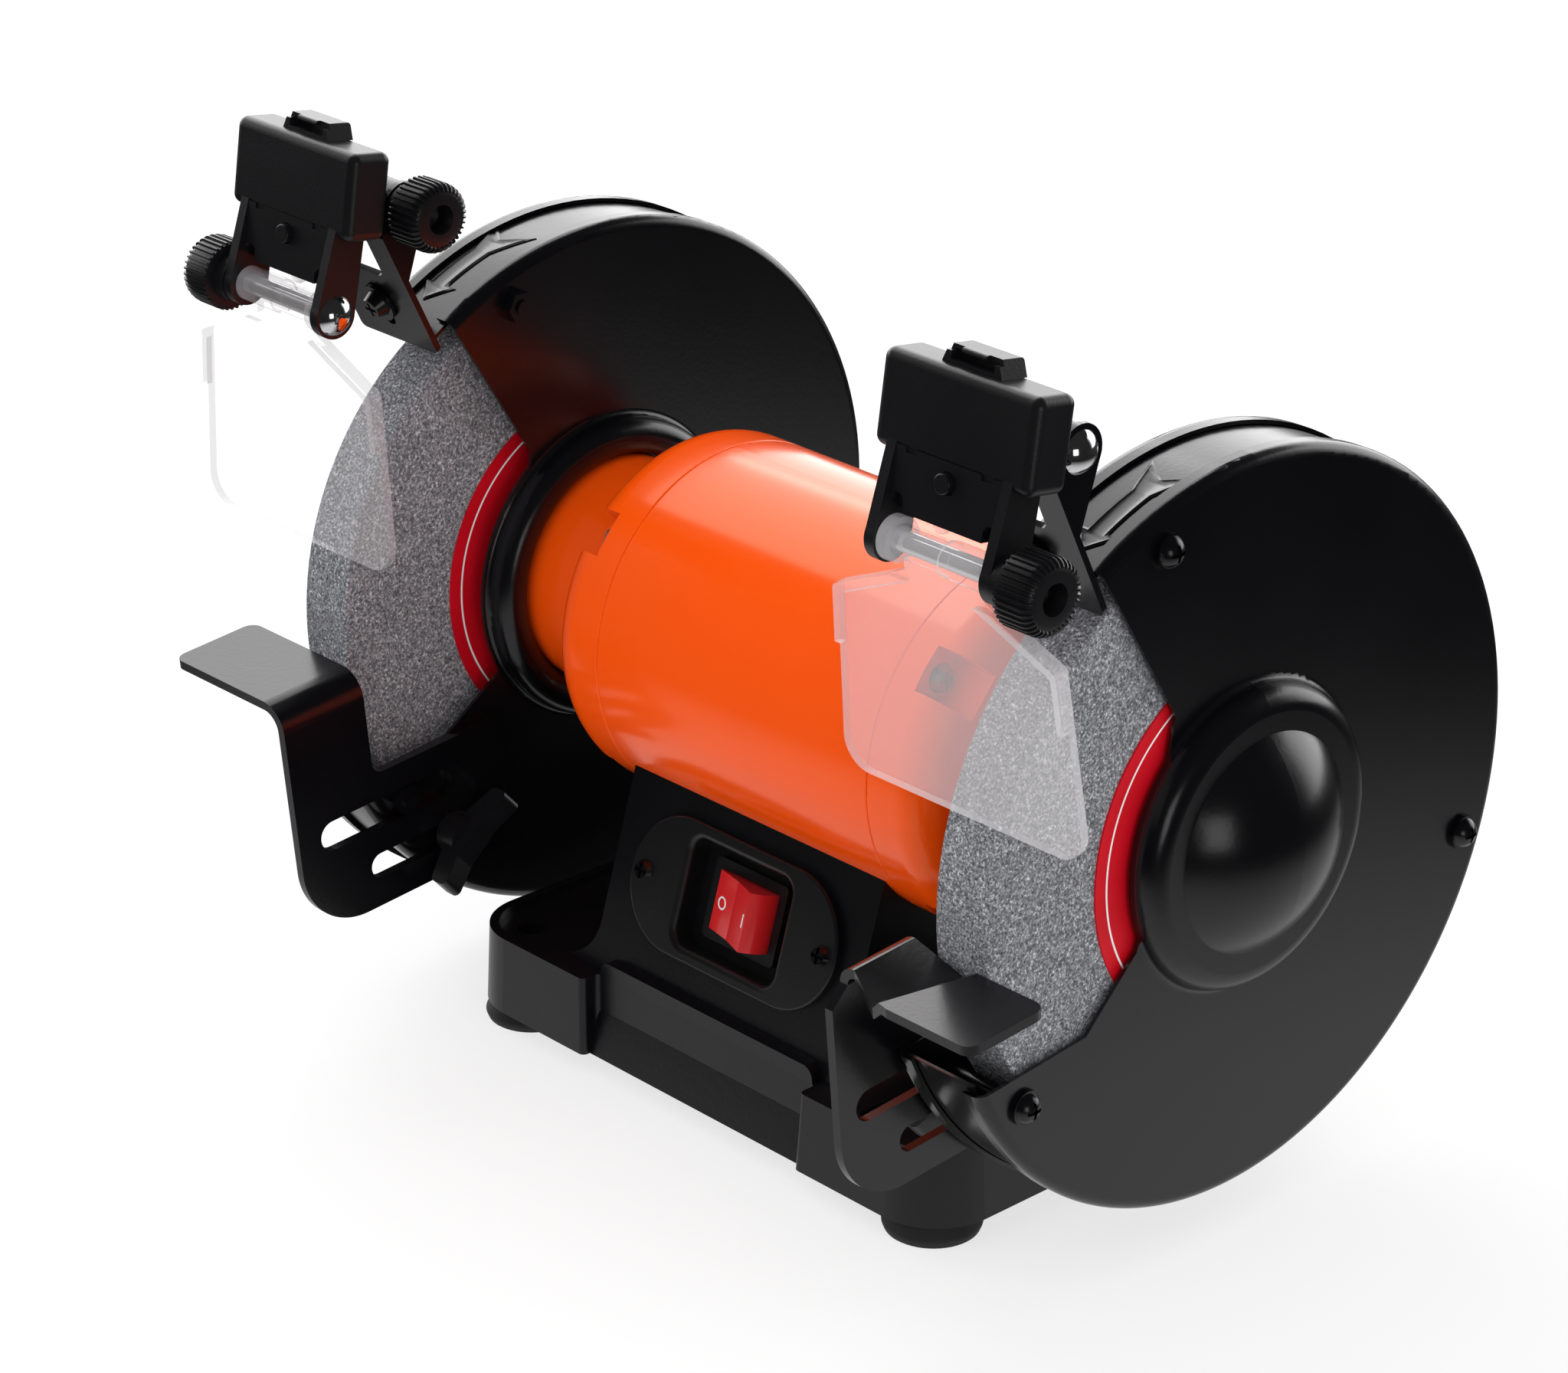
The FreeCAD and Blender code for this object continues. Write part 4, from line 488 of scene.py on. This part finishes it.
def modelled_knob():
    """Ribbed knob along +Z: hub below zero, ribs over the rounded shoulder, a well in the top."""
    deselect()
    core_radius = KNOB_RADIUS - KNOB_RIB_HEIGHT
    bpy.ops.mesh.primitive_cylinder_add(vertices=2 * KNOB_RIBS, radius=core_radius,
                                        depth=KNOB_LENGTH, location=(0.0, 0.0, KNOB_LENGTH / 2))
    knob = bpy.context.object
    settle(knob)
    bpy.ops.object.mode_set(mode="EDIT")
    select_faces(knob, lambda centre, normal: normal.z > 0.9)
    bpy.ops.mesh.region_to_loop()
    bpy.ops.mesh.bevel(offset=KNOB_SHOULDER, segments=4, affect="EDGES")
    select_faces(knob, lambda centre, normal: normal.z > 0.99)
    bpy.ops.mesh.inset(thickness=core_radius - KNOB_SHOULDER - KNOB_WELL_RADIUS)
    bpy.ops.mesh.extrude_region_move(TRANSFORM_OT_translate={"value": (0.0, 0.0, -KNOB_WELL_DEPTH)})
    select_faces(knob, lambda centre, normal: normal.z < -0.99)
    bpy.ops.mesh.inset(thickness=core_radius - KNOB_HUB_RADIUS)
    bpy.ops.mesh.extrude_region_move(TRANSFORM_OT_translate={"value": (0.0, 0.0, -KNOB_HUB_LENGTH)})
    step = math.pi / KNOB_RIBS

    def on_rib(centre, normal):
        away = math.hypot(centre.x, centre.y)
        sector = math.floor((math.atan2(centre.y, centre.x) % (2 * math.pi)) / step)
        return centre.z > 0.0 and normal.z < 0.9 and away > KNOB_RIB_START and sector % 2 == 0

    select_faces(knob, on_rib)
    bpy.ops.mesh.inset(thickness=KNOB_RIB_EDGE, depth=KNOB_RIB_HEIGHT, use_even_offset=False)
    bpy.ops.object.mode_set(mode="OBJECT")
    bpy.ops.object.shade_smooth_by_angle(angle=math.radians(50))
    return knob


def place_knobs():
    """One ribbed knob on each lamp pivot and each shield hinge."""
    pattern = modelled_knob()
    for side in ("left", "right"):
        for kind in ("lamp", "shield"):
            node = side + "_" + kind + "_knob"
            body = side + "_" + kind + "_clamp"
            low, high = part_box(node)
            outward = 1.0 if (side == "right") == (kind == "shield") else -1.0
            seat = low.x if outward > 0 else high.x
            knob = pattern.copy()
            knob.data = pattern.data.copy()
            bpy.context.scene.collection.objects.link(knob)
            turn = Matrix.Rotation(outward * math.pi / 2, 4, "Y")
            start = seat + outward * KNOB_HUB_LENGTH
            place = Vector((start, (low.y + high.y) / 2, (low.z + high.z) / 2))
            knob.data.transform(Matrix.Translation(place) @ turn)
            finish_piece(knob, node + "_ribbed", body, FINISHES["black_plastic"])
            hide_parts(node)
    bpy.data.objects.remove(pattern)


# Switch marks


def panel_matrix():
    """Place and turn of the slanted front panel."""
    turn = Matrix.Rotation(math.radians(90 - PANEL_SLANT), 4, "X")
    return Matrix.Translation((0.0, SWITCH_Y, SWITCH_Z)) @ turn


def rocker_matrix(along, side):
    """Place on one slope of the rocker key, that far along it from its waist."""
    slope = math.atan2(ROCKER_RISE - ROCKER_WAIST, ROCKER_SLOPE_LENGTH)
    tilt = Matrix.Rotation(math.radians(-ROCKER_TILT), 4, "Y")
    pivot = Matrix.Translation((0.0, 0.0, ROCKER_PIVOT)) @ tilt
    waist = Matrix.Translation((0.0, 0.0, ROCKER_WAIST)) @ Matrix.Rotation(-side * slope, 4, "Y")
    return panel_matrix() @ pivot @ waist @ Matrix.Translation((side * along, 0.0, 0.0))


def make_switch_marks():
    """White O on the pressed side of the rocker and I on the raised side."""
    white = skin_material("mark_white", *MARK_COLOURS, 0.3, 0.4, 900.0, 0.02)
    deselect()
    bpy.ops.mesh.primitive_torus_add(major_radius=MARK_O_RADIUS, minor_radius=MARK_O_LINE,
                                     major_segments=48, minor_segments=8)
    ring = bpy.context.object
    ring.scale = MARK_O_STRETCH
    settle(ring)
    ring.data.transform(rocker_matrix(MARK_O_PLACE, -1))
    finish_piece(ring, "rocker_mark_off", "rocker", white)
    deselect()
    bpy.ops.mesh.primitive_cube_add(size=1.0)
    bar = bpy.context.object
    bar.scale = MARK_I_SIZE
    settle(bar)
    bpy.ops.object.mode_set(mode="EDIT")
    bpy.ops.mesh.select_all(action="SELECT")
    bpy.ops.mesh.bevel(offset=MARK_I_EDGE, segments=2, affect="EDGES")
    bpy.ops.object.mode_set(mode="OBJECT")
    bar.data.transform(rocker_matrix(MARK_I_PLACE, 1))
    finish_piece(bar, "rocker_mark_on", "rocker", white)


# Turning arrows on the guards


def make_guard_arrow(side):
    """Raised arrow on the guard band that shows which way the wheel turns."""
    deselect()
    bpy.ops.mesh.primitive_circle_add(vertices=len(ARROW_CORNERS), radius=0.01, fill_type="NGON")
    arrow = bpy.context.object
    for vertex, (along, across) in zip(arrow.data.vertices, ARROW_CORNERS):
        vertex.co = (along, across, -ARROW_SINK)
    bpy.ops.object.mode_set(mode="EDIT")
    bpy.ops.mesh.select_all(action="SELECT")
    bpy.ops.mesh.extrude_region_move(TRANSFORM_OT_translate={"value": (0.0, 0.0, ARROW_HEIGHT)})
    bpy.ops.mesh.inset(thickness=ARROW_BORDER, depth=ARROW_DISH)
    bpy.ops.mesh.inset(thickness=ARROW_BORDER, depth=-ARROW_DISH)
    for cut in range(ARROW_CUTS):
        bpy.ops.mesh.select_all(action="SELECT")
        place = ARROW_FIRST_CUT + ARROW_CUT_STEP * cut
        bpy.ops.mesh.bisect(plane_co=(place, 0.0, 0.0), plane_no=(1.0, 0.0, 0.0))
    bpy.ops.mesh.select_all(action="SELECT")
    bpy.ops.mesh.normals_make_consistent(inside=False)
    bpy.ops.object.mode_set(mode="OBJECT")
    sign = 1.0 if side == "right" else -1.0
    for vertex in arrow.data.vertices:
        angle = ARROW_START - vertex.co.x / BAND_RADIUS
        radius = BAND_RADIUS + vertex.co.z
        across = sign * WHEEL_MIDDLE + vertex.co.y
        vertex.co = (across, radius * math.cos(angle), SHAFT_HEIGHT + radius * math.sin(angle))
    only(arrow)
    bpy.ops.object.mode_set(mode="EDIT")
    bpy.ops.mesh.select_all(action="SELECT")
    bpy.ops.mesh.normals_make_consistent(inside=False)
    bpy.ops.object.mode_set(mode="OBJECT")
    bpy.ops.object.shade_smooth_by_angle(angle=math.radians(40))
    finish_piece(arrow, side + "_guard_arrow", "frame", FINISHES["black_paint"])


# Rough wheel rims


def make_grit_rim(side):
    """Uneven skin of grains on the rim of a wheel."""
    sign = 1.0 if side == "right" else -1.0
    width = WHEEL_WIDTH - 2 * GRIT_EDGE
    deselect()
    bpy.ops.mesh.primitive_cylinder_add(vertices=GRIT_STEPS_ROUND, radius=WHEEL_RADIUS,
                                        depth=width, end_fill_type="NOTHING")
    rim = bpy.context.object
    bpy.ops.object.mode_set(mode="EDIT")
    for step in range(1, GRIT_STEPS_ACROSS):
        bpy.ops.mesh.select_all(action="SELECT")
        across = width * (step / GRIT_STEPS_ACROSS - 0.5)
        bpy.ops.mesh.bisect(plane_co=(0.0, 0.0, across), plane_no=(0.0, 0.0, 1.0))
    bpy.ops.object.mode_set(mode="OBJECT")
    grains = bpy.data.textures.new(side + "_grains", "CLOUDS")
    grains.noise_scale = GRIT_GRAIN
    grains.noise_depth = 1
    raised = rim.modifiers.new("grains", "DISPLACE")
    raised.texture = grains
    raised.texture_coords = "LOCAL"
    raised.strength = GRIT_HEIGHT
    raised.mid_level = GRIT_LEVEL
    only(rim)
    bpy.ops.object.modifier_apply(modifier=raised.name)
    turn = Matrix.Rotation(math.pi / 2, 4, "Y")
    rim.data.transform(Matrix.Translation((sign * WHEEL_MIDDLE, 0.0, SHAFT_HEIGHT)) @ turn)
    finish_piece(rim, side + "_wheel_grit", "rotor", FINISHES["abrasive"])


# Camera, floor and light


def make_camera():
    """Camera at the photograph's place and angle."""
    data = bpy.data.cameras.new("photo_camera")
    data.sensor_width = SENSOR_WIDTH
    data.lens = CAMERA_FOCAL_PIXELS * SENSOR_WIDTH / PHOTO_WIDTH
    camera = bpy.data.objects.new("photo_camera", data)
    bpy.context.scene.collection.objects.link(camera)
    camera.location = CAMERA_PLACE
    camera.rotation_euler = (math.pi / 2 - CAMERA_ELEVATION, 0.0, CAMERA_AZIMUTH)
    bpy.context.scene.camera = camera


def floor_material():
    """Near-white floor, lifted for the camera; in the paint it glows and fades with distance."""
    material, tree, shader = new_material("studio_floor")
    shader.inputs["Roughness"].default_value = 0.9
    shader.inputs["Specular IOR Level"].default_value = 0.1
    path = tree.nodes.new("ShaderNodeLightPath")
    seen = tree.nodes.new("ShaderNodeMath")
    seen.operation = "MULTIPLY_ADD"
    seen.inputs[1].default_value = 0.5
    tree.links.new(path.outputs["Is Camera Ray"], seen.inputs[0])
    tree.links.new(path.outputs["Is Glossy Ray"], seen.inputs[2])
    shade = ramp_between(tree, seen.outputs[0],
                         [(0.0, (FLOOR_PALE,) * 3), (0.5, (FLOOR_SEEN,) * 3), (1.0, (FLOOR_MIRRORED,) * 3)])
    tree.links.new(shade, shader.inputs["Base Color"])
    place = tree.nodes.new("ShaderNodeTexCoord")
    away = tree.nodes.new("ShaderNodeVectorMath")
    away.operation = "LENGTH"
    tree.links.new(place.outputs["Object"], away.inputs[0])
    fade = tree.nodes.new("ShaderNodeMapRange")
    fade.interpolation_type = "SMOOTHSTEP"
    fade.inputs["From Min"].default_value = FLOOR_DARK_RADIUS
    fade.inputs["From Max"].default_value = FLOOR_BRIGHT_RADIUS
    fade.inputs["To Max"].default_value = FLOOR_MIRROR
    tree.links.new(away.outputs["Value"], fade.inputs["Value"])
    glow = tree.nodes.new("ShaderNodeMath")
    glow.operation = "MULTIPLY"
    tree.links.new(fade.outputs["Result"], glow.inputs[0])
    tree.links.new(path.outputs["Is Glossy Ray"], glow.inputs[1])
    lift = tree.nodes.new("ShaderNodeMath")
    lift.operation = "MULTIPLY_ADD"
    lift.inputs[1].default_value = FLOOR_LIFT
    tree.links.new(path.outputs["Is Camera Ray"], lift.inputs[0])
    tree.links.new(glow.outputs[0], lift.inputs[2])
    shader.inputs["Emission Color"].default_value = (1.0, 1.0, 1.0, 1.0)
    tree.links.new(lift.outputs[0], shader.inputs["Emission Strength"])
    return material


def make_floor():
    """Wide pale floor under the feet."""
    deselect()
    bpy.ops.mesh.primitive_plane_add(size=FLOOR_SIZE, location=(0.0, 0.0, 0.0))
    floor = bpy.context.object
    floor.name = "studio_floor"
    floor.data.materials.append(floor_material())


def make_world():
    """White surroundings: an even fill; reflections show a bright backdrop and a dark front."""
    world = bpy.data.worlds.new("studio_world")
    bpy.context.scene.world = world
    world.use_nodes = True
    tree = world.node_tree
    fill = tree.nodes["Background"]
    fill.inputs["Color"].default_value = (1.0, 1.0, 1.0, 1.0)
    fill.inputs["Strength"].default_value = FILL_LIGHT
    place = tree.nodes.new("ShaderNodeTexCoord")
    split = tree.nodes.new("ShaderNodeSeparateXYZ")
    tree.links.new(place.outputs["Generated"], split.inputs["Vector"])
    low = tree.nodes.new("ShaderNodeMapRange")
    low.interpolation_type = "SMOOTHSTEP"
    low.inputs["From Min"].default_value = BACKDROP_END
    low.inputs["From Max"].default_value = BACKDROP_FULL
    tree.links.new(split.outputs["Z"], low.inputs["Value"])
    behind = tree.nodes.new("ShaderNodeVectorMath")
    behind.operation = "DOT_PRODUCT"
    behind.inputs[1].default_value = BACKDROP_DIRECTION
    tree.links.new(place.outputs["Generated"], behind.inputs[0])
    back = tree.nodes.new("ShaderNodeMapRange")
    back.interpolation_type = "SMOOTHSTEP"
    back.inputs["From Min"].default_value = BACKDROP_SIDE_START
    back.inputs["From Max"].default_value = BACKDROP_SIDE_FULL
    tree.links.new(behind.outputs["Value"], back.inputs["Value"])
    both = tree.nodes.new("ShaderNodeMath")
    both.operation = "MULTIPLY"
    tree.links.new(low.outputs["Result"], both.inputs[0])
    tree.links.new(back.outputs["Result"], both.inputs[1])
    strength = value_range(tree, both.outputs[0], FRONT_LIGHT, BACKDROP_LIGHT)
    mirrored = tree.nodes.new("ShaderNodeBackground")
    mirrored.inputs["Color"].default_value = (1.0, 1.0, 1.0, 1.0)
    tree.links.new(strength, mirrored.inputs["Strength"])
    seen = tree.nodes.new("ShaderNodeBackground")
    seen.inputs["Color"].default_value = BACKDROP_SEEN
    seen.inputs["Strength"].default_value = 1.0
    path = tree.nodes.new("ShaderNodeLightPath")
    glossy = tree.nodes.new("ShaderNodeMixShader")
    tree.links.new(path.outputs["Is Glossy Ray"], glossy.inputs["Fac"])
    tree.links.new(fill.outputs["Background"], glossy.inputs[1])
    tree.links.new(mirrored.outputs["Background"], glossy.inputs[2])
    view = tree.nodes.new("ShaderNodeMixShader")
    tree.links.new(path.outputs["Is Camera Ray"], view.inputs["Fac"])
    tree.links.new(glossy.outputs["Shader"], view.inputs[1])
    tree.links.new(seen.outputs["Background"], view.inputs[2])
    tree.links.new(view.outputs["Shader"], tree.nodes["World Output"].inputs["Surface"])


def area_light(name, place, width, height, power):
    """Soft rectangular lamp pointed at the middle of the grinder."""
    data = bpy.data.lights.new(name, "AREA")
    data.shape = "RECTANGLE"
    data.size = width
    data.size_y = height
    data.energy = power
    lamp = bpy.data.objects.new(name, data)
    bpy.context.scene.collection.objects.link(lamp)
    lamp.location = place
    direction = Vector(LIGHT_AIM) - Vector(place)
    lamp.rotation_euler = direction.to_track_quat("-Z", "Y").to_euler()


def make_lights():
    """Studio soft boxes: a broad one high on the left and a small one low on the right."""
    area_light("top_softbox", **TOP_SOFTBOX)
    area_light("right_softbox", **RIGHT_SOFTBOX)


dress_nodes()
place_knobs()
make_switch_marks()
for side in ("left", "right"):
    make_guard_arrow(side)
    make_grit_rim(side)
make_camera()
make_floor()
make_world()
make_lights()
bpy.context.scene.view_settings.view_transform = "Standard"
